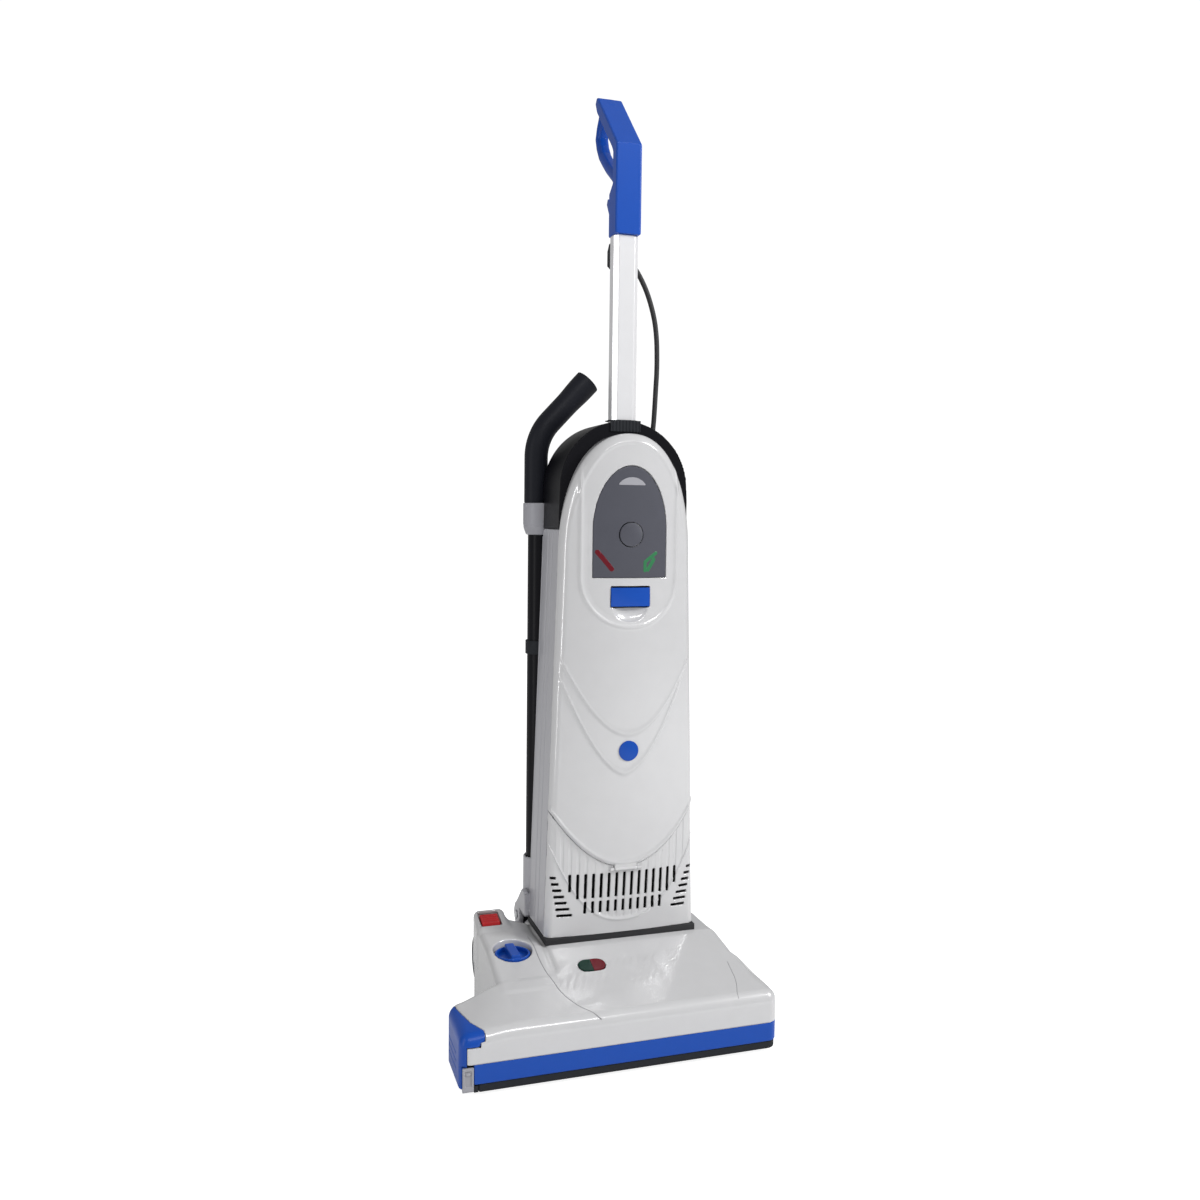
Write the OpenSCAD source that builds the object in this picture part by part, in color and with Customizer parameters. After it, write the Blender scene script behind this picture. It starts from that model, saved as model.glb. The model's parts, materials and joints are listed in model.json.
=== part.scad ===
// Upright vacuum cleaner: floor head, reclining body, pole with loop handle, stowed wand.
// Millimetres, +Z up, front faces -Y. Origin: middle of the footprint, on the floor.

/* [Floor head] */
// Width of the floor head
head_w = 396; // [380:1:416]
// Length of the base, front edge to the back of the rear wheels
base_l = 330; // [324:1:340]
// Depth of the brush housing across the front
brush_box_d = 86; // [84:1:92]
// Height of the deck that the body stands on
deck_z = 110.8; // [106:0.2:114]
// Height of the rounded front lip
lip_z = 80; // [76:1:84]
// Top of the coloured front stripe
stripe_top = 38.8; // [32:0.2:44]
// Underside of the coloured front stripe
stripe_low = 15.5; // [13:0.5:20]
// Wall of the moulded head shell
head_wall = 3; // [2.4:0.2:3.6]
// Clearance under the sole plate
ground_gap = 5; // [4:0.5:6]

/* [Brush and drive] */
// Height of the brush axis above the floor
brush_z = 32; // [31:0.5:34]
// Radius over the bristle tips
bristle_r = 30.5; // [28:0.5:30.5]
// Radius of the brush core
core_r = 19; // [16:0.5:20]
// Length of the brush core
core_l = 328; // [300:2:330]
// Radius of the brush shaft and its bearing bores
shaft_r = 4; // [3:0.5:5]
// Belt running radius on the brush pulley
brush_pulley_r = 16; // [13:0.5:18]
// Belt running radius on the motor pulley
motor_pulley_r = 11; // [9:0.5:12]
// Thickness of the belt
belt_t = 2; // [1.5:0.1:2.5]
// Radius of the brush motor can
brush_motor_r = 30; // [26:0.5:31]

/* [Wheels] */
// Diameter of the rear wheels
wheel_d = 70; // [64:1:72]
// Width of a rear wheel
wheel_w = 20; // [16:1:22]
// Diameter of the front rollers
roller_d = 24; // [22:1:26]
// Travel of the height adjustment
height_travel = 6; // [4:0.5:6]

/* [Body] */
// Sideways offset of the body from the middle of the head
body_x = 39; // [34:0.5:44]
// Width of the body at its foot
body_w = 205; // [198:1:208]
// Width of the body at its shoulders
shoulder_w = 170; // [164:1:174]
// Height at which the shoulders start to round
shoulder_z = 692; // [684:1:700]
// Rear face of the body
rear_y = 78; // [76:0.5:79]
// Plane where the front covers meet the rear housing
part_y = -17; // [-19:0.5:-16]
// Front face of the covers at their side edges
front_y = -27; // [-30:0.5:-26]
// Bulge of the front covers
crown_h = 19; // [14:0.5:21]
// Top of the front cover's arch
arch_top = 760; // [754:1:764]
// Height of the sealing strip under the body
gasket_h = 8; // [6:0.5:9]
// Wall of the body shells
wall = 3; // [2.6:0.1:3.4]
// Height of the joint between rear housing and dome
dome_z = 640; // [630:1:648]

/* [Pole and handle] */
// Width of the pole
pole_w = 33; // [30:0.5:35]
// Depth of the pole
pole_d = 25; // [22:0.5:26]
// Wall of the pole
pole_t = 1.8; // [1.4:0.1:2.4]
// Middle of the pole, front to back
pole_y = -2.5; // [-3:0.5:-1]
// Height where the handle starts
handle_z = 1008; // [1000:1:1016]
// Overall height
total_h = 1200; // [1190:1:1210]
// Width of the handle
handle_w = 34; // [34:0.5:37]
// Width of the hand grip
grip_w = 17; // [15:0.5:20]

/* [Wand] */
// Radius of the hose tube
tube_r = 16; // [15:0.25:16.5]
// Wall of the hose tube
tube_t = 1.5; // [1.2:0.1:1.8]
// Radius of the bent grip tube
wand_r = 15.5; // [14.5:0.25:16]
// Radius of the wand collar
collar_r = 22.5; // [21.5:0.25:23]
// Bore radius at the wand's mouth
mouth_r = 12.8; // [12:0.1:13.2]

/* [Hidden] */
$fn = 64;

run = 0.05;          // radial running clearance
gap = 0.3;           // clearance between neighbouring mouldings
eps = 0.01;

// head
half_w = head_w / 2;
face_y = -base_l / 2;
box_rear = face_y + brush_box_d;
slope = (deck_z - 3 - lip_z) / 106;
floor_z = ground_gap + 1.5;
floor_t = 3;
floor_top = floor_z + floor_t;
cap_in = -half_w + 8;
right_in = half_w - 5;
brush_y = face_y + 43;
belt_x = half_w - 42;
belt_w = 8;
motor_y = box_rear + 42;
motor_z = 50;
deck_x0 = body_x - body_w / 2 - 4.5;
deck_x1 = half_w - 26;
tower_x0 = deck_x0 - 71;
tower_y1 = 58;
deck_y1 = rear_y + 2;
rear_x0 = deck_x0 - 29;
rear_x1 = body_x + body_w / 2 - 4.5;
rear_top = 78;
rear_end = base_l / 2 - 15;
axle_y = base_l / 2 - wheel_d / 2;
axle_z = wheel_d / 2;
axle_r = 4;
pivot_y = rear_y + 22;
pivot_z = 107;
pin_r = 5;
ear_r = 16;
lug_r = 13;
knob_p = [tower_x0 + 33.3, -27];
knob_r = 22.5;
knob_floor = 97;
spindle_r = 4;
pedal_x0 = tower_x0 + 8;
pedal_x1 = tower_x0 + 32;
pedal_y = 12;
pedal_z = 98;
pedal_end = 60;
spring_p = [tower_x0 + 20, 46];
spring_low = 58;
duct_x = -6;
duct_r = 19;
duct_bore = 16.5;
duct_z0 = 33;
duct_z1 = 55;
pill_p = [-15.5, -74];

// body
body_z = deck_z + gasket_h;
pipe_p = [body_x - body_w / 2 + 17.5, rear_y + 2];
pipe_low = 150;
pipe_top = 650;
grip_x = pipe_p.x - 6;
collar_z0 = 631;
collar_z1 = 673;
arch_z = 600;
arch_n = 2.2;
u_low = 209;
u_rise = 82;
hinge_y = front_y - 14.2;
hinge_z = u_low - 2.5;
cover_t = 3.2;
motor_p = [body_x, 26];
shelf_z = 262;
inlet_z = 610;
panel_z0 = 580;
panel_z1 = 719.5;
panel_hw = 48.5;
button_z = 634;
button_r = 15;
latch_z = 564.5;
latch_hw = 25.5;
badge_z = 360.5;
pole_low = 690;
pole_top = handle_z + 60;

// The lead from the handle's inlet to the clip on the dome, points chosen by hand
lead_r = 3.25;
lead_pts = [[48.5, 24, 986], [53, 24, 985], [60, 23, 979], [68, 22, 968], [77, 21, 951],
    [84, 20, 932], [90, 20, 910], [93, 20, 888], [94, 20, 866], [94, 20, 844], [93, 20, 822],
    [92, 20, 800], [91, 20, 782], [90, 20, 770], [90, 20, 763]];

// ---------- shared shapes ----------

module along_x(x0, x1, y, z, r) translate([x0, y, z]) rotate([0, 90, 0]) cylinder(h = x1 - x0, r = r);
module along_y(x, y0, y1, z, r) translate([x, y1, z]) rotate([90, 0, 0]) cylinder(h = y1 - y0, r = r);
module along_z(x, y, z0, z1, r) translate([x, y, z0]) cylinder(h = z1 - z0, r = r);
module box(x0, x1, y0, y1, z0, z1) translate([x0, y0, z0]) cube([x1 - x0, y1 - y0, z1 - z0]);
module ball(p, r) translate(p) sphere(r = r, $fn = 24);
// A profile drawn in Y and Z, carried from x0 to x1
module side_plate(x0, x1) translate([x0, 0, 0]) rotate([90, 0, 90]) linear_extrude(x1 - x0) children();
// A profile drawn in X and Z, carried from y0 to y1
module front_plate(y0, y1) translate([0, y1, 0]) rotate([90, 0, 0]) linear_extrude(y1 - y0) children();
module slot2d(w, h) {
    translate([-w / 2 + h / 2, 0]) circle(r = h / 2);
    translate([w / 2 - h / 2, 0]) circle(r = h / 2);
    translate([-w / 2 + h / 2, -h / 2]) square([w - h, h]);
}

// A tube swept along hand-placed points, as one closed mesh
function unit(v) = v / norm(v);
function dir(p, i) = unit(p[min(i + 1, len(p) - 1)] - p[max(i - 1, 0)]);
function ring(p, i, r, n) = let (d = dir(p, i), a = unit(cross(d, [0.2, 1, 0.1])), b = cross(d, a))
    [for (k = [0:n - 1]) p[i] + r * (cos(360 * k / n) * a + sin(360 * k / n) * b)];
module sweep(p, r, n) stack([for (i = [0:len(p) - 1]) ring(p, i, r, n)]);

// ---------- head shell forms ----------

function lip_top(y) = lip_z + slope * (y - face_y - 19);

module wide_form(t) {
    r = 14 - t;
    hull() {
        for (s = [-1, 1]) {
            ball([s * (half_w - 14), face_y + 14, lip_z - 21], r);
            ball([s * (half_w - 60), face_y + 14, lip_z - 14], r);
            ball([s * (half_w - 46), box_rear - 10, lip_top(box_rear - 10) - 8.5], 8 - t);
            ball([s * (half_w - 10), box_rear - 10, lip_z - 12], 8 - t);
            along_z(s * (half_w - 14), face_y + 14, floor_top - t, floor_top + 1 - t, r);
            along_z(s * (half_w - 8), box_rear - 8, floor_top - t, floor_top + 1 - t, 8 - t);
        }
    }
}
module tower_form(t) {
    hull() {
        for (p = [[tower_x0 + 8, box_rear - 5, lip_top(box_rear - 5) - 8.3],
                [tower_x0 + 8, -30, deck_z - 7.6], [tower_x0 + 9, tower_y1 - 10, deck_z + 1],
                [deck_x0 - 4, tower_y1 - 8, deck_z - 8], [deck_x0 - 4, -30, deck_z - 8],
                [deck_x0 - 4, box_rear - 5, lip_top(box_rear - 5) - 8.3]])
            ball(p, 8 - t);
        box(tower_x0 + t, deck_x0 + 20, box_rear - 13 + t, tower_y1 - t, floor_top - t, floor_top + 1 - t);
    }
}
// Raised surround of the pedal at the tower's rear
module horn_form(t) hull() {
    for (x = [tower_x0 + 9, pedal_x1 + 3]) {
        ball([x, pedal_y + 20, deck_z + 2], 8 - t);
        ball([x, pedal_end + 1, deck_z + 11], 8 - t);
    }
    box(tower_x0 + 1 + t, pedal_x1 + 11 - t, pedal_y + 4, tower_y1 - 1 - t, deck_z - 40, deck_z - 39);
}
module deck_form(t) {
    hull() {
        for (p = [[deck_x1 - 12, box_rear - 1, lip_top(box_rear - 1) - 12.4], [deck_x1 - 12,
            front_y + 4, deck_z - 12],
                [deck_x1 - 14, deck_y1 - 12, deck_z - 12]])
            ball(p, 12 - t);
        box(deck_x0 + 2 * t, deck_x1 - 18, front_y, deck_y1 - t, deck_z - 1 - t, deck_z - t);
        box(deck_x0 + 2 * t, deck_x1 - 18, box_rear - 13, box_rear - 12, lip_top(box_rear - 13) - 1 - t,
            lip_top(box_rear - 13) - t);
        box(deck_x0 + 2 * t, deck_x1 - t, box_rear - 13, deck_y1 - 12, floor_top - t, floor_top + 1 - t);
        box(deck_x0 + 2 * t, deck_x1 - 12, box_rear - 13, deck_y1 - t, floor_top - t, floor_top + 1 - t);
    }
}
// The cap's wedge on the top of the head's left end
module wedge_area(g) linear_extrude(200) offset(delta = g)
    polygon([[-half_w - 5, box_rear - 12], [-half_w + 8, box_rear - 14], [-half_w + 17, face_y + 30],
        [-half_w + 29, face_y + 8], [-half_w + 29, face_y + 3], [-half_w - 5, face_y - 5]]);

module head_cover() color("#e9e9e6") difference() {
    union() { wide_form(0); tower_form(0); horn_form(0); deck_form(0); }
    difference() {
        union() { wide_form(head_wall); tower_form(head_wall); horn_form(head_wall); deck_form(head_wall); }
        along_z(knob_p.x, knob_p.y, knob_floor - head_wall, 140, knob_r + 5);
    }
    along_z(knob_p.x, knob_p.y, knob_floor, 140, knob_r + 2);
    along_z(knob_p.x, knob_p.y, knob_floor - 5, knob_floor + 5, spindle_r + run);
    box(-half_w - 1, cap_in + gap, face_y - 1, box_rear + 1, 0, 200);
    translate([0, 0, lip_z - 22]) wedge_area(gap);
    box(-half_w - 1, half_w + 1, face_y - 1, face_y + 4.8, 0, stripe_top);
    box(right_in - gap, half_w + 1, face_y - 1, box_rear + 1, 0, stripe_top);
    box(half_w - 20, half_w + 1, face_y - 1, face_y + 18, 0, stripe_top);
    box(cap_in - 1, -half_w + 18, face_y - 1, face_y + 18, 0, stripe_top);
    box(pedal_x0 - 1.5, pedal_x1 + 1.5, pedal_y + 20, pedal_end + 3.5, deck_z - 2, 150);
    box(deck_x0 + 14, deck_x0 + 24, 6, 24, deck_z - 5, deck_z + 1);
    box(duct_x - duct_r - 0.6, duct_x + duct_r + 0.6, 60, deck_y1 + 1, duct_z0 - 1, duct_z1 + 1);
    box(body_x - 23, body_x + 23, deck_y1 - 3.1, deck_y1 + 2, pivot_z - 9, deck_z + 2);
    on_slope(pill_p) translate([0, 0, -5]) linear_extrude(20) offset(delta = 0.1) slot2d(35, 22);
    for (s = [rear_x0 + 12, rear_x1 - 12]) box(s - 3, s + 3, 60, deck_y1 + 1, floor_top - 1, 30);
}
module on_slope(p) translate([p.x, p.y, lip_top(p.y)]) rotate([atan(slope), 0, 0]) children();

module stripe_plan(inset) {
    r = 14 - inset;
    translate([half_w - 14, face_y + 14]) circle(r = r);
    translate([-half_w + 16, face_y + inset]) square([head_w - 30, 5.5 - inset]);
    translate([half_w - 5.5, face_y + 14]) square([5.5 - inset, brush_box_d - 22]);
}
module stripe_band(inset, t) difference() {
    stripe_plan(inset);
    translate([half_w - 14, face_y + 14]) circle(r = 14 - t);
    translate([-half_w, face_y + t]) square([head_w - 14, 30]);
    translate([half_w - 50, face_y + 14]) square([50 - t, brush_box_d]);
}
module front_stripe() color("#1c4fc4") translate([0, 0,
    stripe_low]) linear_extrude(stripe_top - stripe_low - gap)
    stripe_band(0, 4.5);
module bumper() color("#3b3d40") difference() {
    translate([0, 0, ground_gap + 0.5]) linear_extrude(stripe_low - ground_gap - 0.7) stripe_band(1.2, 4.5);
    box(-half_w, -half_w + 21.3, face_y, face_y + 9, 0, 20);
}

module end_cap() color("#1c4fc4") difference() {
    intersection() {
        wide_form(0);
        union() {
            box(-half_w - 1, cap_in, face_y - 1, box_rear + 1, 0, 200);
            translate([0, 0, lip_z - 21]) wedge_area(0);
        }
    }
    intersection() {
        wide_form(head_wall);
        box(-half_w + head_wall, half_w, face_y - 1, box_rear, 0, 200);
    }
    for (k = [0:2]) box(-half_w - 1, -half_w + 1, face_y + 26, box_rear - 16, 24 + 9 * k, 26 + 9 * k);
    box(-half_w + 2.6, cap_in + 1, face_y - 1, face_y + 5.8, 0, 36.5);
}
latch_y = face_y + 2.8;
latch_hinge_z = 9.5;
module end_latch() color("#b9bcbe") {
    difference() {
        union() {
            box(-half_w + 3, -half_w + 16 - gap, face_y, face_y + 3.4, latch_hinge_z, 35.5);
            along_x(-half_w + 3, -half_w + 16 - gap, latch_y, latch_hinge_z, 2.8);
        }
        box(-half_w + 6, -half_w + 13, face_y - 1, face_y + 1.2, 15, 31);
    }
    along_x(-half_w + 8, -half_w + 20, latch_y, latch_hinge_z, 1.2);
}

// ---------- base frame ----------

module cradle(x) difference() {
    box(x - 2, x + 2, motor_y - 24, motor_y + 24, floor_top - 1, motor_z - 8);
    along_x(x - 3, x + 3, motor_y, motor_z, brush_motor_r);
}
module lug(x0, x1) {
    along_x(x0, x1, pivot_y, pivot_z, lug_r);
    box(x0, x1, pivot_y - lug_r, pivot_y + lug_r, rear_top - 1, pivot_z);
}
module base_frame() color("#4a4c50") difference() {
    union() {
        // floor of the brush box, the middle and the rear block
        box(cap_in + 1, right_in - gap - 0.2, face_y + 5, box_rear, floor_z, floor_top - eps);
        box(tower_x0 + 0.2, deck_x1 - 0.2, box_rear - 1, tower_y1, floor_z, floor_top - eps);
        box(rear_x0, rear_x1, tower_y1 - 1, rear_end, floor_z, floor_top - eps);
        // brush box walls
        box(cap_in + 1, right_in - gap - 0.2, face_y + 5, face_y + 7.7, floor_z, stripe_top - gap);
        box(cap_in + 1, cap_in + 6, face_y + 5, box_rear - 6.4, floor_z, 52);
        box(cap_in + 1, deck_x1 - 4, box_rear - 9, box_rear - 6.2, floor_z, 56);
        box(belt_x - 6, belt_x - 3.5, face_y + 5, box_rear - 6.4, floor_z, 52);
        box(belt_x + 12, belt_x + 18, face_y + 5, box_rear - 6.4, floor_z, 52);
        along_x(cap_in + 1, cap_in + 8.5, brush_y, brush_z, 14);
        along_x(belt_x + 10.5, belt_x + 18, brush_y, brush_z, 14);
        // ears of the end latch
        box(-half_w + 16, -half_w + 21, face_y + 0.6, face_y + 9, floor_z, 14);
        // rear block
        for (x = [rear_x0, rear_x1 - 3]) box(x, x + 3, deck_y1 + gap, rear_end, floor_z, rear_top);
        box(rear_x0, rear_x1, deck_y1 + gap, rear_end, rear_top - 3, rear_top);
        box(rear_x0, rear_x1, rear_end - 3, rear_end, floor_z, rear_top);
        for (x = [rear_x0, rear_x1 - 9]) along_x(x, x + 9, axle_y, axle_z, 10);
        lug(body_x - body_w / 2 + 1.5, body_x - body_w / 2 + 13.5);
        lug(body_x + body_w / 2 - 13.5, body_x + body_w / 2 - 1.5);
        // pedal posts and spring pillar
        for (x = [pedal_x0 - 4.2, pedal_x1 + 1]) box(x, x + 3.2, pedal_y - 7, pedal_y + 7,
            floor_top - 1, pedal_z + 6);
        along_z(spring_p.x, spring_p.y, floor_top - 1, spring_low - 0.05, 8);
        along_z(spring_p.x, spring_p.y, spring_low - 1, spring_low + 6, 3.4);
        // brush motor cradles and guide posts of the roller carriage
        for (x = [belt_x - 68, belt_x - 20]) cradle(x);
        for (x = [roller_xs[0] + 24, roller_xs[1] - 60])
            box(x - 4, x + 4, box_rear - 1, box_rear + 5.6, floor_top - 1, 40);
        // neck boss around the knob's spindle foot
        along_z(knob_p.x, knob_p.y, floor_top - 1, 20, 9);
    }
    // rounded right corner, and room for the end latch's barrel
    translate([half_w - 14, face_y + 14, 0]) difference() {
        translate([0, -20, 0]) cube([20, 20, stripe_top]);
        translate([0, 0, -1]) cylinder(h = stripe_top + 2, r = 9.2);
    }
    box(-half_w + 2, -half_w + 15.9, face_y + 4, face_y + 6, 0, 12.6);
    // mouth over the brush
    box(cap_in + 8, belt_x - 6.5, brush_y - 31, brush_y + 29.5, 0, floor_top + 1);
    // bearing seats and shaft ways
    along_x(cap_in + 1.5, cap_in + 8.6, brush_y, brush_z, 11);
    along_x(cap_in, cap_in + 12, brush_y, brush_z, 9);
    along_x(belt_x + 10, belt_x + 17, brush_y, brush_z, 11);
    along_x(belt_x + 10, belt_x + 20, brush_y, brush_z, 9);
    along_x(belt_x - 8, belt_x - 2, brush_y, brush_z, 12);
    // belt way through the rear wall of the brush box
    box(belt_x - 2.5, belt_x + 10.5, box_rear - 10, box_rear, floor_top + 1, 70);
    // duct mouth
    box(duct_x - duct_r + 2, duct_x + duct_r - 2, box_rear - 10, box_rear, duct_z0 + 2, duct_z1 - 2);
    // front roller slots
    for (x = roller_xs) box(x - 12, x + 12, roller_y - 15, roller_y + 15, 0, floor_top + 1);
    box(roller_xs[0] - 13.5, roller_xs[1] + 13.5, roller_y - 2.6, roller_y + 2.6, 0, floor_top + 1);
    // axle, duct, pins
    along_x(rear_x0 - 1, rear_x1 + 1, axle_y, axle_z, axle_r);
    along_z(duct_x, pivot_y, rear_top - 10, rear_top + 10, duct_r + 0.4);
    along_x(body_x - body_w / 2, body_x + body_w / 2, pivot_y, pivot_z, pin_r);
    along_x(pedal_x0 - 6, pedal_x1 + 6, pedal_y, pedal_z, 3);
    along_z(knob_p.x, knob_p.y, floor_top + 1, 30, spindle_r + run);
    along_x(-half_w + 15, -half_w + 20.5, latch_y, latch_hinge_z, 1.2 + run);
}
roller_xs = [deck_x0 - 16, deck_x1 - 56];
roller_y = box_rear + 13;

module sole_plate() color("#a9adb0") difference() {
    box(cap_in + 4, right_in - 4, face_y + 8, box_rear - 2, ground_gap, floor_z - eps);
    box(cap_in + 8, belt_x - 6.5, brush_y - 31, brush_y + 29.5, 0, 20);
    for (x = [cap_in + 20, -60, 50, right_in - 28]) along_z(x, box_rear - 8, 0, 20, 2.2);
}
module head_duct() color("#36383b") difference() {
    union() {
        box(duct_x - duct_r, duct_x + duct_r, box_rear - 6.15, pivot_y, duct_z0, duct_z1);
        along_z(duct_x, pivot_y, duct_z0, pivot_z, duct_r);
        translate([duct_x, pivot_y, pivot_z]) sphere(r = duct_r);
        along_x(duct_x, body_x - 1, pivot_y, pivot_z, duct_r);
    }
    box(duct_x - duct_r + 2, duct_x + duct_r - 2, box_rear - 8, pivot_y, duct_z0 + 2, duct_z1 - 2);
    along_z(duct_x, pivot_y, duct_z0 + 2, pivot_z, duct_bore);
    translate([duct_x, pivot_y, pivot_z]) sphere(r = duct_bore);
    along_x(duct_x, body_x + 5, pivot_y, pivot_z, duct_bore);
}
module lens(x0, x1) on_slope(pill_p) intersection() {
    translate([0, 0, -head_wall - 1]) linear_extrude(head_wall + 1.6) slot2d(34.6, 21.6);
    box(x0, x1, -20, 20, -20, 20);
}
module lens_green() color("#2f7d4a") lens(-20, -0.1);
module lens_red() color("#b3202a") lens(0.1, 20);

// ---------- brush, belt, motor ----------

module brush_roller() color("#2b2c2e") {
    along_x(cap_in + 9, cap_in + 9 + core_l, brush_y, brush_z, core_r);
    along_x(cap_in + 2, belt_x + 16, brush_y, brush_z, shaft_r);
}
// Two rows of tufts climb round the core in a slow helix
module bristle_rows() color("#1d1e20") for (s = [0, 1],
    k = [0:31]) translate([cap_in + 16 + k * (core_l - 14) / 31, brush_y, brush_z])
    rotate([180 * s + k * 11.6, 0, 0]) translate([0, 0, core_r]) cylinder(h = bristle_r - core_r,
        r = 2.6, $fn = 8);
module roller_bearings() color("#c4c7ca") for (x = [cap_in + 1.5, belt_x + 10])
    difference() {
        along_x(x, x + 7, brush_y, brush_z, 11);
        along_x(x - 1, x + 8, brush_y, brush_z, shaft_r + run);
    }
module pulley(y, z, r, bore) difference() {
    union() {
        along_x(belt_x - 1.5, belt_x + belt_w + 1.5, y, z, r);
        along_x(belt_x - 1.5, belt_x - 0.3, y, z, r + 2.4);
        along_x(belt_x + belt_w + 0.3, belt_x + belt_w + 1.5, y, z, r + 2.4);
    }
    along_x(belt_x - 3, belt_x + belt_w + 3, y, z, bore);
}
module brush_pulley() color("#d8d8d4") pulley(brush_y, brush_z, brush_pulley_r, shaft_r);
module motor_pulley() color("#d8d8d4") {
    pulley(motor_y, motor_z, motor_pulley_r, 3);
    along_x(belt_x - 24, belt_x + belt_w + 1.4, motor_y, motor_z, 3);
}
belt_c = norm([motor_y - brush_y, motor_z - brush_z]);
belt_a = atan2(motor_z - brush_z, motor_y - brush_y);
belt_b = acos((brush_pulley_r - motor_pulley_r) / belt_c);
function belt_ring(t) = concat(
    [for (k = [0:36]) let (v = belt_a + belt_b + k * (360 - 2 * belt_b) / 36)
        [brush_y + (brush_pulley_r + t) * cos(v), brush_z + (brush_pulley_r + t) * sin(v)]],
    [for (k = [0:36]) let (v = belt_a - belt_b + k * 2 * belt_b / 36)
        [motor_y + (motor_pulley_r + t) * cos(v), motor_z + (motor_pulley_r + t) * sin(v)]]);
module drive_belt() color("#1b1c1d") side_plate(belt_x, belt_x + belt_w)
    difference() { polygon(belt_ring(run + belt_t)); polygon(belt_ring(run)); }
module brush_motor() color("#8d9296") difference() {
    union() {
        along_x(belt_x - 80, belt_x - 10, motor_y, motor_z, brush_motor_r);
        along_x(belt_x - 10, belt_x - 6, motor_y, motor_z, 10);
        along_x(belt_x - 84, belt_x - 80, motor_y, motor_z, 12);
    }
    along_x(belt_x - 26, belt_x - 4, motor_y, motor_z, 3 + run);
}

// ---------- pedal, knob, rollers, wheels ----------

module pedal() color("#cf2c33") difference() {
    union() {
        side_plate(pedal_x0, pedal_x1) polygon([[pedal_y + 22, deck_z + 6], [pedal_y + 24, deck_z + 13],
            [pedal_end - 4, deck_z + 17], [pedal_end, deck_z + 13], [pedal_end, deck_z + 8],
            [pedal_y + 28, deck_z + 6]]);
        for (x = [pedal_x0, pedal_x1 - 5]) side_plate(x, x + 5)
            polygon([[pedal_y - 4, pedal_z], [pedal_y + 2, pedal_z + 6], [pedal_y + 24, deck_z + 7],
                [pedal_y + 28, deck_z + 7], [pedal_y + 4, pedal_z]]);
        along_x(pedal_x0, pedal_x1, pedal_y, pedal_z, 6);
        along_z(spring_p.x, spring_p.y, deck_z + 1, deck_z + 8, 3.2);
    }
    along_x(pedal_x0 - 1, pedal_x1 + 1, pedal_y, pedal_z, 3 + run);
    for (k = [0:3]) box(pedal_x0 + 3, pedal_x1 - 3, pedal_y + 27 + k * 4.5, pedal_y + 28.6 + k * 4.5,
        deck_z + 12.8 + 0.9 * k, deck_z + 20);
}
module pedal_pin() color("#b8bcc0") along_x(pedal_x0 - 4.2, pedal_x1 + 4.2, pedal_y, pedal_z, 3);
spring_top = deck_z + 4.6;
spring_r = 5.2;
spring_wire = 0.8;
spring_turns = 8;
spring_pts = [for (i = [0:spring_turns * 12]) let (a = 30 * i)
    [spring_p.x + spring_r * cos(a), spring_p.y + spring_r * sin(a),
     spring_low + spring_wire + (spring_top - 2.4 - spring_low - 2 * spring_wire) * i / (spring_turns *
         12)]];
module pedal_spring() color("#9fa4a8") sweep(spring_pts, spring_wire, 6);
module height_knob() color("#1a4bbd") {
    difference() {
        along_z(knob_p.x, knob_p.y, knob_floor + gap, knob_floor + 11, knob_r);
        along_z(knob_p.x, knob_p.y, knob_floor + 4, knob_floor + 12, knob_r - 3);
    }
    intersection() {
        box(knob_p.x - 6, knob_p.x + 6, knob_p.y - 30, knob_p.y + 30, knob_floor + 3, knob_floor + 14);
        along_z(knob_p.x, knob_p.y, knob_floor, knob_floor + 20, knob_r - 2);
    }
    along_z(knob_p.x, knob_p.y, floor_top + 1.2, knob_floor + 1, spindle_r);
}
module roller_carriage() color("#54575b") difference() {
    union() {
        along_z(knob_p.x, knob_p.y, 27, 38, 9);
        box(knob_p.x - 6, knob_p.x + 6, roller_y - 4, knob_p.y, 27, 31);
        box(knob_p.x - 6, roller_xs[1] + 13, roller_y - 4, roller_y + 4, 26, 31);
        for (x = roller_xs, s = [-1, 1]) box(x + s * 10.7 - 1.2, x + s * 10.7 + 1.2, roller_y - 4,
            roller_y + 4, roller_d / 2 - 5, 28);
    }
    along_z(knob_p.x, knob_p.y, 0, 60, spindle_r + run);
    along_x(roller_xs[0] - 20, roller_xs[1] + 20, roller_y, roller_d / 2, 2 + run);
}
module front_rollers() color("#2f3133") {
    for (x = roller_xs) along_x(x - 9, x + 9, roller_y, roller_d / 2, roller_d / 2);
    along_x(roller_xs[0] - 13, roller_xs[1] + 13, roller_y, roller_d / 2, 2);
}
module rear_axle() color("#b8bcc0") {
    along_x(rear_x0 - wheel_w - 4, rear_x1 + wheel_w + 4, axle_y, axle_z, axle_r);
    for (x = [rear_x0 - wheel_w - 5, rear_x1 + wheel_w + 3.4]) along_x(x, x + 1.6, axle_y, axle_z, 7);
}
module wheel_hub(x0) color("#c9ccce") difference() {
    along_x(x0, x0 + wheel_w, axle_y, axle_z, wheel_d / 2 - 7);
    along_x(x0 - 1, x0 + wheel_w + 1, axle_y, axle_z, axle_r + run);
    for (x = [x0 - 1, x0 + wheel_w - 5]) difference() {
        along_x(x, x + 6, axle_y, axle_z, wheel_d / 2 - 10);
        along_x(x - 1, x + 7, axle_y, axle_z, 9);
    }
}
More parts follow.
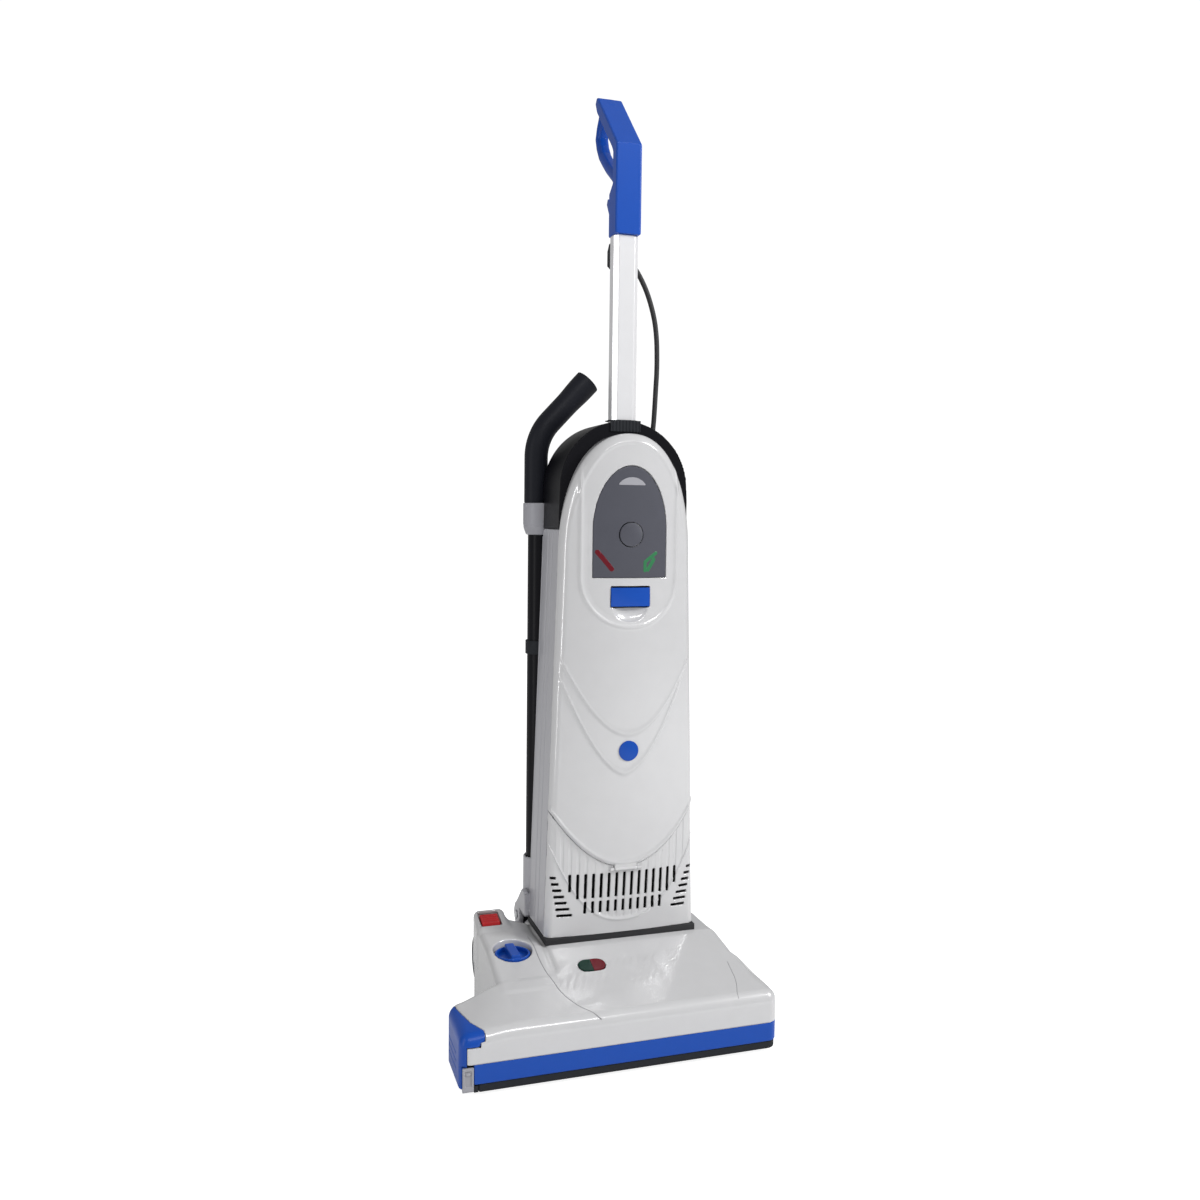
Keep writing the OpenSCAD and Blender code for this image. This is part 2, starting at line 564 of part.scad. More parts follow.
module wheel_tyre(x0) color("#2a2b2d") difference() {
    along_x(x0, x0 + wheel_w, axle_y, axle_z, wheel_d / 2);
    along_x(x0 - 1, x0 + wheel_w + 1, axle_y, axle_z, wheel_d / 2 - 7);
    for (k = [0.3, 0.7]) difference() {
        along_x(x0 + k * wheel_w - 0.8, x0 + k * wheel_w + 0.8, axle_y, axle_z, wheel_d / 2 + 1);
        along_x(x0 - 1, x0 + wheel_w + 1, axle_y, axle_z, wheel_d / 2 - 1.2);
    }
}
wheel_left_x = rear_x0 - wheel_w - 2.5;
wheel_right_x = rear_x1 + 2.5;
module hub_left() wheel_hub(wheel_left_x);
module hub_right() wheel_hub(wheel_right_x);
module tyre_left() wheel_tyre(wheel_left_x);
module tyre_right() wheel_tyre(wheel_right_x);
module pivot_pins() color("#b8bcc0") {
    along_x(body_x - body_w / 2 - 7.5, body_x - body_w / 2 + 13, pivot_y, pivot_z, pin_r);
    along_x(body_x + body_w / 2 - 13, body_x + body_w / 2 + 7.5, pivot_y, pivot_z, pin_r);
}

// ---------- body forms ----------

function hw(z) = body_w / 2 - (body_w - shoulder_w) / 2 * (z - body_z) / (shoulder_z - body_z);
function arch_f(z) = max(0, (z - arch_z) / (arch_top - arch_z));
function arch_hw(z) = z <= arch_z ? hw(z) : hw(arch_z) * pow(max(0, 1 - pow(min(1, arch_f(z)),
    arch_n)), 1 / arch_n);
function crown(z) = crown_h * (0.22 + 0.78 * sin(90 * min(1, (z - body_z) / 200)));
// Distance from a point of the front view to the cover's outline
function rho(x, z) = pow(pow(abs(x) / hw(arch_z), arch_n) + pow(arch_f(z), arch_n), 1 / arch_n);
function edge_d(x, z) = z <= arch_z ? hw(z) - abs(x) :
    let (r = max(rho(x, z), 0.01), gx = pow(abs(x) / hw(arch_z), arch_n - 1) / hw(arch_z),
         gz = pow(arch_f(z), arch_n - 1) / (arch_top - arch_z))
    (1 - r) * pow(r, arch_n - 1) / max(norm([gx, gz]), 0.0001);
corner_r = front_y - part_y;
function cover_y(x, z) = let (u = x / hw(min(z, arch_z)), d = max(0, min(-corner_r, edge_d(x, z))))
    min(part_y, front_y - crown(z) * (1 - u * u) + (-corner_r) - sqrt(pow(-corner_r,
        2) - pow(-corner_r - d, 2)));
cover_zs = [0, 40, 90, 150, 250, 400, 481, 520, 550, 575, 595, 612, 625, 634, 639.5];
// The front cover's solid, set in by s at its sides and top and by t at its face
module cover_form(s, t, back = 0) hull() for (k = [0:len(cover_zs) - 1]) {
    z = body_z + cover_zs[k] * (arch_top - body_z - 0.6) / 639.5;
    w = max(arch_hw(z), 0.8);
    zz = z - s * max(0, (z - arch_z)) / (arch_top - arch_z);
    translate([body_x, 0, zz]) linear_extrude(eps) polygon(concat(
        [for (i = [-10:10]) let (x = w * sin(9 * i)) [x * max(0.02, (w - s) / w), min(part_y + back,
            cover_y(x, z) + t)]],
        [[max(0.5, w - s), part_y + back], [-max(0.5, w - s), part_y + back]]));
}
function u_line(x) = u_low + u_rise * pow((x - body_x) / (body_w / 2), 2);
module below_u(g) front_plate(-80, 40) polygon(concat([[body_x - 120, 60], [body_x - 120,
    u_line(body_x - 120) - g]],
    [for (i = [-12:12]) let (x = body_x + 9.5 * i) [x, u_line(x) - g]],
    [[body_x + 120, u_line(body_x + 120) - g], [body_x + 120, 60]]));

slot_pitch = 10.2;
module grille_slots() {
    for (i = [-7:7]) let (short = abs(i) == 7)
        box(body_x + slot_pitch * i - 1.9, body_x + slot_pitch * i + 1.9, -60, part_y - 3,
            short ? 178 : 168, 201);
    for (i = [-5:5]) box(body_x + slot_pitch * i - 1.9, body_x + slot_pitch * i + 1.9, -60, part_y - 3,
        148, 164);
    for (s = [-1, 1], k = [0:6]) let (a = 96 - 1.4 * k, b = 89 - 3.6 * k)
        box(body_x + s * (a + b) / 2 - (a - b) / 2, body_x + s * (a + b) / 2 + (a - b) / 2, -60, part_y - 1,
            195.5 - 8.3 * k, 199 - 8.3 * k);
}
module lower_front() color("#dcdcd9") {
    difference() {
        intersection() { cover_form(0, 1.6); below_u(0.4); }
        difference() {
            cover_form(wall, 1.6 + wall, 2);
            box(-200, 400, -80, 20, 0, body_z + wall);
        }
        box(body_x - 15.3, body_x + 15.3, -80, hinge_y + 8, hinge_z - 2.8, u_low + 20);
        grille_slots();
    }
    for (x = [body_x - 21, body_x + 15.3]) {
        along_x(x, x + 5.7, hinge_y, hinge_z, 2.2);
        box(x, x + 5.7, hinge_y, hinge_y + 4, hinge_z - 2.2, hinge_z + 1.5);
    }
    along_x(body_x - 17, body_x + 17, hinge_y, hinge_z, 1.1);
}
module bag_door() color("#ededeb") difference() {
    union() {
        difference() {
            cover_form(0, 0);
            difference() {
                cover_form(cover_t, cover_t, 2);
                for (x = [body_x - latch_hw - 7, body_x + latch_hw + 0.5]) box(x, x + 6.5, -50, -35,
                    latch_z - 5, latch_z + 5);
                along_y(body_x, -50, -31, button_z, button_r + 3);
            }
            below_u(0);
        }
        along_x(body_x - 15, body_x + 15, hinge_y, hinge_z, 2.2);
        box(body_x - 15, body_x + 15, hinge_y - 0.4, hinge_y + 2, hinge_z, u_low + 5);
    }
    // seat of the panel, the button's well, the latch window and the finger scoop
    difference() { front_plate(-80, -20) panel_area(gap); cover_form(-5, 2.3, 5); }
    along_y(body_x, -60, -34, button_z, button_r + 0.4);
    along_y(body_x, -60, 0, button_z, 5 + run);
    box(body_x - latch_hw - 0.5, body_x + latch_hw + 0.5, -60, -30, 543 - 0.5, 569.5);
    along_x(body_x - latch_hw - 5, body_x + latch_hw + 5, latch_y_p, latch_z, 1.6 + run);
    along_x(body_x - 20, body_x + 20, hinge_y, hinge_z, 1.1 + run);
}
latch_y_p = front_y - 13.5;
function panel_pts(g) = let (h = panel_hw + g) concat([[body_x - h + 1, panel_z0 - g], [body_x + h - 1,
    panel_z0 - g]],
    [for (i = [0:18]) let (a = 10 * i) [body_x + h * cos(a), 640 + (panel_z1 + g - 640) * sin(a)]]);
module panel_area(g) polygon(panel_pts(g));
module door_panel() color("#5b5c61") difference() {
    intersection() { cover_form(0, 0.3); front_plate(-80, -20) panel_area(0); }
    cover_form(-5, 2.2, 5);
    along_y(body_x, -60, 0, button_z, button_r + 0.4);
}
module panel_button() color("#616268") {
    along_y(body_x, front_y - crown_h - 0.2, -41, button_z, button_r);
    along_y(body_x, -42, -31, button_z, 5);
}
module door_latch() color("#1c4fc4") {
    box(body_x - latch_hw, body_x + latch_hw, front_y - crown_h + 0.4, front_y - crown_h + 3.4, 544,
        latch_z + 3);
    box(body_x - latch_hw, body_x + latch_hw, front_y - crown_h + 1, front_y - 13, latch_z - 2.5,
        latch_z + 2.5);
    along_x(body_x - latch_hw, body_x + latch_hw, latch_y_p, latch_z, 3.2);
    along_x(body_x - latch_hw - 4, body_x + latch_hw + 4, latch_y_p, latch_z, 1.6);
    box(body_x - 8, body_x + 8, latch_y_p, latch_y_p + 14, latch_z - 1.5, latch_z + 1.5);
}
module front_badge() color("#2253c6") along_y(body_x, front_y - crown_h - 1.2, front_y - crown_h - eps,
    badge_z, 13);

function housing_pts(z, t) = let (w = hw(z), r = 22) concat([[-w + t, part_y + gap - min(1, t)],
    [w - t, part_y + gap - min(1, t)]],
    [for (a = [0:15:90]) [w - r + (r - t) * cos(a), rear_y - r + (r - t) * sin(a)]],
    [for (a = [90:15:180]) [-w + r + (r - t) * cos(a), rear_y - r + (r - t) * sin(a)]]);
module housing_form(t, z0, z1) hull() for (z = [z0, z1])
    translate([body_x, 0, z]) linear_extrude(eps) polygon(housing_pts(z, t));
module pipe_seat(r, z0, z1) along_z(pipe_p.x, pipe_p.y, z0, z1, r);

module ear(x0, x1, xr) {
    along_x(x0, x1, pivot_y, pivot_z, ear_r);
    side_plate(x0, x1) polygon([[52, body_z + 1], [58, body_z + 34], [72, body_z + 34], [pivot_y + 11,
        pivot_z + 11],
        [pivot_y, pivot_z - ear_r], [pivot_y - ear_r, pivot_z], [84, body_z + 1]]);
    box(min(x0, xr), max(x1, xr), 54, 70, body_z + 1, body_z + 30);
}
module rear_housing() color("#cfd0d1") difference() {
    union() {
        difference() {
            housing_form(0, body_z, dome_z - gap);
            difference() {
                housing_form(wall, body_z + wall, dome_z + 1);
                pipe_seat(22, body_z, dome_z);
                pipe_seat(26, collar_z0 - 6, dome_z);
                box(body_x - 100, body_x + 100, part_y + gap, rear_y, shelf_z, shelf_z + wall);
            }
        }
        pipe_seat(19.5, 140, 196);
        ear(body_x - body_w / 2 - 6.5, body_x - body_w / 2 - gap, body_x - body_w / 2 + 3);
        ear(body_x + body_w / 2 + gap, body_x + body_w / 2 + 6.5, body_x + body_w / 2 - 3);
        // nose that locates the body on the deck
        box(deck_x0 + 16, deck_x0 + 22, 8, 12, deck_z - 3, body_z + 1);
    }
    difference() { pipe_seat(tube_r + 2.7, body_z - 1, dome_z + 1); pipe_seat(19.5, 139, 196); }
    pipe_seat(tube_r, pipe_low, 200);
    pipe_seat(collar_r + gap, collar_z0 - 0.1, dome_z + 1);
    along_x(body_x - body_w / 2 - 8, body_x + body_w / 2 + 8, pivot_y, pivot_z, pin_r + run);
    along_y(body_x, 60, 90, inlet_z, 17 + gap);
    along_z(motor_p.x, motor_p.y, shelf_z - 1, shelf_z + 10, 20);
    for (s = screw_spots) along_y(body_x + s.x, rear_y - 5, rear_y + 1, s.y, 2);
}
screw_spots = [[-44, 150], [60, 150], [46, 330], [-44, 330], [46, 500], [-44, 500]];

dome_r = shoulder_w / 2;
dome_top = shoulder_z + dome_r;
dome_front = part_y + gap;
// One outline of the dome at depth y, set in by t, with its flat foot raised by b
function dome_loop(y, t, b) = concat([[body_x + hw(dome_z) - t, y, dome_z + b]],
    [for (k = [0:30]) [body_x + (dome_r - t) * cos(6 * k), y, shoulder_z + (dome_r - t) * sin(6 * k)]],
    [[body_x - hw(dome_z) + t, y, dome_z + b]]);
function dome_back(t, b) = [for (a = [90, 67.5, 45, 22.5, 0])
    dome_loop(rear_y - 16 + (16 - t) * sin(a), 16 - (16 - t) * cos(a), b)];
function backwards(v) = [for (i = [len(v) - 1:-1:0]) v[i]];
// Closed solid through a row of outlines, each with the same number of points
module stack(loops) {
    n = len(loops[0]);
    m = len(loops);
    polyhedron([for (l = loops) each l], concat(
        [for (i = [0:m - 2], k = [0:n - 1]) let (a = i * n + k, b = i * n + (k + 1) % n) each [[a,
            b + n, b], [a, a + n, b + n]]],
        [[for (k = [0:n - 1]) k], [for (k = [n - 1:-1:0]) (m - 1) * n + k]]), convexity = 8);
}
module rear_dome() color("#232427") difference() {
    union() {
        stack(concat(dome_back(0, 0), [dome_loop(dome_front, 0, 0), dome_loop(dome_front, 12, 12),
            dome_loop(dome_front + wall, 12, 12), dome_loop(dome_front + wall, wall, wall)],
            backwards(dome_back(wall, wall))));
        // backing of the wand's groove
        box(body_x - dome_r + 2, pipe_p.x + collar_r + 4, pipe_p.y - collar_r - 4, rear_y - 2,
            dome_z + 1, 700);
        box(body_x - dome_r + 8, pipe_p.x + collar_r + 4, pipe_p.y - collar_r - 4, rear_y - 2, 699, 722);
        box(body_x - dome_r + 14, pipe_p.x + collar_r + 4, pipe_p.y - collar_r - 4, rear_y - 2, 721, 735);
        // socket of the pole and boss of the cable clip
        box(body_x - pole_w / 2 - 3, body_x + pole_w / 2 + 3, dome_front + 0.5,
            pole_y + pole_d / 2 + 3, pole_low - 4, dome_top - 4);
        along_z(lead_pts[14].x, lead_pts[14].y, 744, 753, 7);
    }
    pipe_seat(collar_r + gap, dome_z - 1, collar_z1 + 2);
    along_z(grip_x, pipe_p.y, dome_z - 1, 800, wand_r + 0.8);
    pole_hole(0, pole_low, 790);
    along_z(lead_pts[14].x, lead_pts[14].y, 740, 790, 4.4);
}
module base_gasket() color("#2d2e31") translate([0, 0, deck_z + eps]) linear_extrude(gasket_h - 2 * eps)
    difference() {
        gasket_plan(0);
        gasket_plan(8);
    }
module gasket_plan(t) translate([body_x, 0]) {
    translate([-body_w / 2 + t, front_y - 2 + t]) square([body_w - 2 * t, rear_y - 20 - front_y + 2 - t]);
    translate([-body_w / 2 + 20, rear_y - 21]) square([body_w - 40, 21 - t]);
    for (s = [-1, 1]) translate([s * (body_w / 2 - 20), rear_y - 20]) circle(r = 20 - t);
}

// ---------- inside the body ----------

module suction_motor() color("#9aa0a4") difference() {
    union() {
        along_z(motor_p.x, motor_p.y, body_z + wall + 12, 222, 42);
        along_z(motor_p.x, motor_p.y, body_z + wall, body_z + wall + 12, 26);
    }
    along_z(motor_p.x, motor_p.y, 150, 240, shaft_r + run);
}
module fan_housing() color("#6f7478") difference() {
    along_z(motor_p.x, motor_p.y, 222, shelf_z, 47);
    along_z(motor_p.x, motor_p.y, 224, shelf_z - 3, 44.5);
    along_z(motor_p.x, motor_p.y, 200, shelf_z + 1, 19);
}
module fan_rotor() color("#b5b9bc") {
    along_z(motor_p.x, motor_p.y, 160, 250, shaft_r);
    along_z(motor_p.x, motor_p.y, 228, 230, 42);
    difference() {
        along_z(motor_p.x, motor_p.y, 244, 246, 42);
        along_z(motor_p.x, motor_p.y, 240, 250, 17);
    }
    along_z(motor_p.x, motor_p.y, 228, 250, 9);
    for (a = [0:45:315]) translate([motor_p.x, motor_p.y, 229]) rotate([0, 0, a]) translate([16, -0.8,
        0]) cube([24, 1.6, 16]);
}
module motor_filter() color("#3c3e42") box(body_x - 70, body_x + 70, -8, 52, shelf_z + wall, shelf_z + 15);
module exhaust_filter() color("#3a3b3d") {
    box(body_x - 76, body_x + 76, -24, -21, 134, 210);
    for (k = [0:29]) box(body_x - 75 + 5.1 * k, body_x - 73 + 5.1 * k, -21, part_y + gap, 136, 208);
}
module dust_bag() color("#d9cfb8") difference() {
    translate([body_x, 18, 0]) hull() for (p = [[-46, 308], [46, 308], [-46, 560], [46, 560], [-34,
        612], [34, 612]])
        translate([p.x, 0, p.y]) sphere(r = 27, $fn = 24);
    along_y(body_x, 20, 60, inlet_z, 17.3);
}
module bag_collar() color("#c8b892") difference() {
    box(body_x - 38, body_x + 38, 45.1, 49, inlet_z - 38, inlet_z + 28);
    along_y(body_x, 40, 60, inlet_z, 17 + run);
}
module duct_riser() color("#2f3134") difference() {
    union() {
        along_x(body_x - 22, body_x + 22, pivot_y, pivot_z, 21.5);
        box(body_x - 19, body_x + 19, rear_y + 0.05, rear_y + 30, pivot_z, inlet_z + 26);
        along_y(body_x, 44.5, rear_y + 10, inlet_z, 17);
    }
    along_x(body_x - 23, body_x - 0.5, pivot_y, pivot_z, duct_r + run);
    along_x(body_x - 10, body_x + 19, pivot_y, pivot_z, 17);
    box(body_x - 16.5, body_x + 16.5, rear_y + 3, rear_y + 27.5, pivot_z, inlet_z + 23);
    along_y(body_x, 30, rear_y + 10, inlet_z, 14.5);
}

// ---------- pole and handle ----------

function pole_pts(g, c) = let (a = pole_w / 2 + g, b = pole_d / 2 + g)
    [[-a, -b + c], [-a + c, -b], [a - c, -b], [a, -b + c], [a, b - c], [a - c, b], [-a + c, b], [-a,
        b - c]];
module pole_hole(g, z0, z1) translate([body_x, pole_y, z0]) linear_extrude(z1 - z0) polygon(pole_pts(g, 6));
module pole() color("#dfe1e3") difference() {
    pole_hole(0, pole_low, handle_z - gap);
    translate([body_x, pole_y, pole_low - 1]) linear_extrude(handle_z) polygon(pole_pts(-pole_t, 5.5));
}
module pole_collar() color("#2a2b2e") difference() {
    union() {
        box(body_x - 24, body_x + 24, part_y - 1.8, pole_y + pole_d / 2 + 6, arch_top + 3, dome_top - 2);
        box(body_x - 22, body_x + 22, part_y - 1.5, pole_y + pole_d / 2 + 6, dome_top - 3, dome_top + 1);
    }
    pole_hole(0, 700, 800);
    translate([body_x, 0, 0]) difference() {
        box(-60, 60, part_y + gap - 0.25, 60, 700, 790);
        translate([-body_x, 0, 0]) box(body_x - 60, body_x + 60, part_y - 5, 60, dome_top + 0.3, 800);
    }
    for (k = [-4:4]) box(body_x + 5 * k - 0.7, body_x + 5 * k + 0.7, part_y - 3, part_y - 1, 700, 800);
}
// Centre line of the hand grip: Y, and the drop from the overall height
grip_line = [[60, 16], [66, 10], [80, 18], [90, 31], [95, 43], [90, 56], [80, 70], [65, 83], [50, 95],
    [28, 110], [8, 125], [-6, 136]];
grip_pts = [for (p = grip_line) [p.x, total_h - p.y]];
grip_t = 7;
function grip_n(i) = let (d = unit(grip_pts[min(i + 1, 11)] - grip_pts[max(i - 1, 0)])) [-d.y, d.x];
module grip_area() polygon(concat([for (i = [0:11]) grip_pts[i] + grip_t * grip_n(i)],
    [for (i = [11:-1:0]) grip_pts[i] - grip_t * grip_n(i)]));
module handle() color("#1b4ec2") difference() {
    union() {
        side_plate(body_x - handle_w / 2, body_x + handle_w / 2) polygon([[pole_y - pole_d / 2 - 4,
            handle_z],
            [pole_y - pole_d / 2 - 4, total_h - 82], [62, total_h - 2], [67, total_h], [73,
                total_h - 7], [66, total_h - 20], [2, total_h - 83], [-3, total_h - 90],
            [-3, total_h - 128], [pole_y + pole_d / 2 + 1, total_h - 138], [pole_y + pole_d / 2 + 1,
                handle_z]]);
        side_plate(body_x - grip_w / 2, body_x + grip_w / 2) grip_area();
        translate([body_x, pole_y, handle_z - 45]) linear_extrude(50) polygon(pole_pts(-pole_t - 0.1, 5.5));
    }
    // seat of the rocker switch
    box(body_x - 8, body_x + 8, -11, 0, switch_z - 10, switch_z + 10);
    along_x(body_x - 10, body_x + 10, switch_y, switch_z, 1.5 + run);
    along_y(body_x, 0, 20, hook_z, 3);
}
switch_y = -6;
switch_z = total_h - 104;
module power_switch() color("#1e1f21") difference() {
    union() {
        side_plate(body_x - 7.5, body_x + 7.5) polygon([[-9, switch_z - 8.5], [-9, switch_z + 8.5],
            [0.2, switch_z + 8.5], [-1.4, switch_z], [0.2, switch_z - 8.5]]);
        along_x(body_x - 9.5, body_x + 9.5, switch_y, switch_z, 1.5);
    }
    for (s = [-1, 1]) box(body_x - 9, body_x + 9, -10, -8.2, switch_z + s * 6 - 3, switch_z + s * 6 + 3);
}
hook_z = handle_z + 28;
hook_y = pole_y + pole_d / 2 + 1;
module cord_hook() color("#1c4fc4") {
    along_y(body_x, hook_y + 0.1, hook_y + 5, hook_z, 11);
    along_y(body_x, 0.2, hook_y + 1, hook_z, 3 - run);
    side_plate(body_x - 7, body_x + 7) polygon([[hook_y + 2, hook_z - 9], [hook_y + 14, hook_z - 4],
        [hook_y + 26, hook_z + 6],
        [hook_y + 38, hook_z + 24], [hook_y + 34, hook_z + 30], [hook_y + 26, hook_z + 24],
            [hook_y + 15, hook_z + 11],
        [hook_y + 2, hook_z + 7]]);
}
module cable_inlet() color("#1f2022") difference() {
    union() {
        side_plate(body_x - 9, body_x + 9) polygon([[hook_y - 0.95, handle_z - 32],
            [hook_y + 14, handle_z - 36], [hook_y + 27, handle_z - 29], [hook_y + 27, handle_z - 10],
            [hook_y + 20, handle_z - 2], [hook_y - 0.95, handle_z - 4]]);
        along_x(body_x + 8, body_x + 9.4, lead_pts[0].y, lead_pts[0].z, 5.5);
    }
    // blind socket of the mains inlet, opening to the rear
    along_y(body_x, hook_y + 13, hook_y + 30, handle_z - 20, 4.5);
}
module lead_cable() color("#1a1b1c") sweep(lead_pts, lead_r, 8);
module cable_clip() color("#222326") difference() {
    along_z(lead_pts[14].x, lead_pts[14].y, 748, 763, 4.4);
    box(0, 200, 0, 60, 700, 748);
}

// ---------- wand ----------

module hose_tube() color("#1c1d1f") difference() {
    pipe_seat(tube_r, pipe_low, pipe_top);
    pipe_seat(tube_r - tube_t, pipe_low + 2, pipe_top + 1);
}
module tube_clip() color("#2b2c2f") difference() {
    pipe_seat(tube_r + 2.4, 472, 490);
    pipe_seat(tube_r, 460, 500);
}
module hose_collar() color("#a7aaae") difference() {
    union() {
        pipe_seat(collar_r, collar_z0 + 11, collar_z1);
        translate([pipe_p.x, pipe_p.y, collar_z0]) cylinder(h = 11, r1 = collar_r - 4, r2 = collar_r);
    }
    pipe_seat(tube_r, collar_z0 - 1, pipe_top);
    along_z(hose_x, pipe_p.y, 600, 700, hose_r + 0.6);
    along_z(grip_x, pipe_p.y, plug_z - 0.1, 700, plug_r + run);
}
plug_z = 654;
plug_r = 13.5;
bend_z = 733;
bend_r = 70;
bend_a = 43;
tip_l = 75;
module tube(h, r, bore) difference() { cylinder(h = h, r = r); translate([0, 0,
    -1]) cylinder(h = h + 2, r = bore); }
module wand_grip() color("#26282b") translate([grip_x, pipe_p.y, 0]) {
    translate([0, 0, plug_z]) tube(collar_z1 - plug_z + 1, plug_r, 11);
    translate([0, 0, collar_z1 + run]) tube(bend_z - collar_z1 - run, wand_r, 11.8);
    translate([bend_r, 0, bend_z]) rotate([90, 0,
        180]) rotate_extrude(angle = bend_a) translate([bend_r, 0])
        difference() { circle(r = wand_r - 0.1); circle(r = 12); }
    translate([bend_r, 0, bend_z]) rotate([0, bend_a, 0]) translate([-bend_r, 0, 0]) {
        tube(tip_l, wand_r + 0.8, mouth_r);
        translate([0, 0, tip_l - 9]) tube(9, wand_r + 1.8, mouth_r);
    }
}
hose_x = pipe_p.x - 3.5;
hose_r = 10.2;
hose_rib = 8;
hose_z0 = pipe_low + 2;
hose_n = floor((plug_z - hose_z0) / hose_rib);
module stretch_hose() color("#3a3c40") translate([hose_x, pipe_p.y,
    hose_z0]) rotate_extrude() polygon(concat(
    [for (i = [0:hose_n - 1], k = [0, 1]) [hose_r - 2.4 * (1 - k), (i + k / 2) * hose_rib]],
    [[hose_r - 2.4, hose_n * hose_rib], [hose_r - 4, hose_n * hose_rib]],
    [for (i = [hose_n - 1:-1:0], k = [1, 0]) [hose_r - 1.6 - 2.4 * (1 - k), (i + k / 2) * hose_rib]]));
module housing_screws() color("#6a6d70") for (s = screw_spots) {
    along_y(body_x + s.x, rear_y, rear_y + 2, s.y, 4);
    along_y(body_x + s.x, rear_y - 5, rear_y + 1, s.y, 2);
}

base_frame();
sole_plate();
head_cover();
front_stripe();
bumper();
end_cap();
end_latch();
brush_roller();
bristle_rows();
roller_bearings();
brush_pulley();
drive_belt();
brush_motor();
motor_pulley();
pedal();
pedal_pin();
pedal_spring();
height_knob();
roller_carriage();
front_rollers();
rear_axle();
hub_left();
hub_right();
tyre_left();
tyre_right();
pivot_pins();
head_duct();
lens_green();
lens_red();
rear_housing();
rear_dome();
base_gasket();
lower_front();
exhaust_filter();
bag_door();
door_panel();
panel_button();
door_latch();
front_badge();
suction_motor();
fan_housing();
fan_rotor();
motor_filter();
dust_bag();
bag_collar();
duct_riser();
pole();
pole_collar();
handle();
power_switch();
cord_hook();
cable_inlet();
lead_cable();
cable_clip();
hose_tube();
tube_clip();
hose_collar();
wand_grip();
stretch_hose();
housing_screws();
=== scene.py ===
# Upright vacuum cleaner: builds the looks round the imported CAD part.
import math
import json

import bmesh
import bpy
import numpy as np
from mathutils import Matrix, Vector


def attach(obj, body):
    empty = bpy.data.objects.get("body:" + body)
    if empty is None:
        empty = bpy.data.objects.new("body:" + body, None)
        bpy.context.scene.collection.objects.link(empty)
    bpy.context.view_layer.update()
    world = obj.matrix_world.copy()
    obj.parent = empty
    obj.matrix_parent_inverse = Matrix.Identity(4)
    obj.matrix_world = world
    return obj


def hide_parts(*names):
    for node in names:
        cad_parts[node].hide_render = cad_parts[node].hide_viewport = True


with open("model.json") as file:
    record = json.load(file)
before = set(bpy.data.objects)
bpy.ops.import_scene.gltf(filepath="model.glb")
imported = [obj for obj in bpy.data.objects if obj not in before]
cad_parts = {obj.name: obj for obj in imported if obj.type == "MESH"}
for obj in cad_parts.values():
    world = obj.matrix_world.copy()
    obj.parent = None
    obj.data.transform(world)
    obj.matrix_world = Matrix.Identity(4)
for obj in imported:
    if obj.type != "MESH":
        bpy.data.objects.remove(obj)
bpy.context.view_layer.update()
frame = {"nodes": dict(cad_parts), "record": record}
print("frame loaded", len(frame["nodes"]), "nodes")

toMetres = 0.001

# the upright body: a tapering case under an arch, where it stands in the CAD
body = {
    "x": 39.0,  # its middle
    "foot": 118.8,
    "footHalf": 102.5,  # half its width at the foot
    "shoulder": 692.0,
    "shoulderHalf": 85.0,
    "archFoot": 600.0,
    "archTop": 760.0,
    "archPower": 2.2,  # 2 is an ellipse, more is squarer
    "edge": 10,  # rounding between face and sides
    "partY": -17.0,  # where front covers and rear shells meet
    "frontY": -27.0,
    "rearY": 78.0,
    "crown": 19.0,  # how far the front bulges
    "pivotY": 100.0,
    "pivotZ": 107.0,
}
# the floor head: a wide brush box in front, whose top slopes up from the lip to the deck
head = {
    "half": 198.0,
    "front": -165.0,
    "boxRear": -79.0,
    "corner": 13,
    "lip": 80.0,  # height of the front edge
    "slopeStart": 19,  # behind the front
    "slopeLength": 106,
    "deck": 110.8,
    "foot": 9.5,
}
knobAt = (-105.7, -27.0)  # x and y
buttonZ = 634.0
hingeAt = (-41.2, 206.5)  # y and z

# A shape is a field: a function of x, y and z that is below zero inside it.


def meet(a, b, r=0.0):
    # inside both a and b, with the edge between them rounded to radius r
    if r <= 0:
        return np.maximum(a, b)
    return np.minimum(np.maximum(a, b), -r) + np.hypot(np.maximum(a + r, 0), np.maximum(b + r, 0))


def join(a, b, r=0.0):
    # inside a or b, with the corner between them filled to radius r
    if r <= 0:
        return np.minimum(a, b)
    return np.maximum(np.minimum(a, b), r) - np.hypot(np.maximum(r - a, 0), np.maximum(r - b, 0))


def span(v, low, high):
    # distance from the middle of low and high, less half the way between them
    return np.abs(v - (low + high) / 2) - (high - low) / 2


def blockField(x, y, z, low, high, r=0.0):
    # distance to a box whose edges are rounded to radius r
    dx, dy, dz = [span(v, low[i], high[i]) + r for i, v in enumerate((x, y, z))]
    out = np.sqrt(np.maximum(dx, 0) ** 2 + np.maximum(dy, 0) ** 2 + np.maximum(dz, 0) ** 2)
    return out + np.minimum(np.maximum(np.maximum(dx, dy), dz), 0) - r


def rectField(u, v, u0, u1, v0, v1, r=0.0):
    # distance to a rectangle in the plane, corners rounded to radius r
    du, dv = span(u, u0, u1) + r, span(v, v0, v1) + r
    return np.hypot(np.maximum(du, 0), np.maximum(dv, 0)) + np.minimum(np.maximum(du, dv), 0) - r


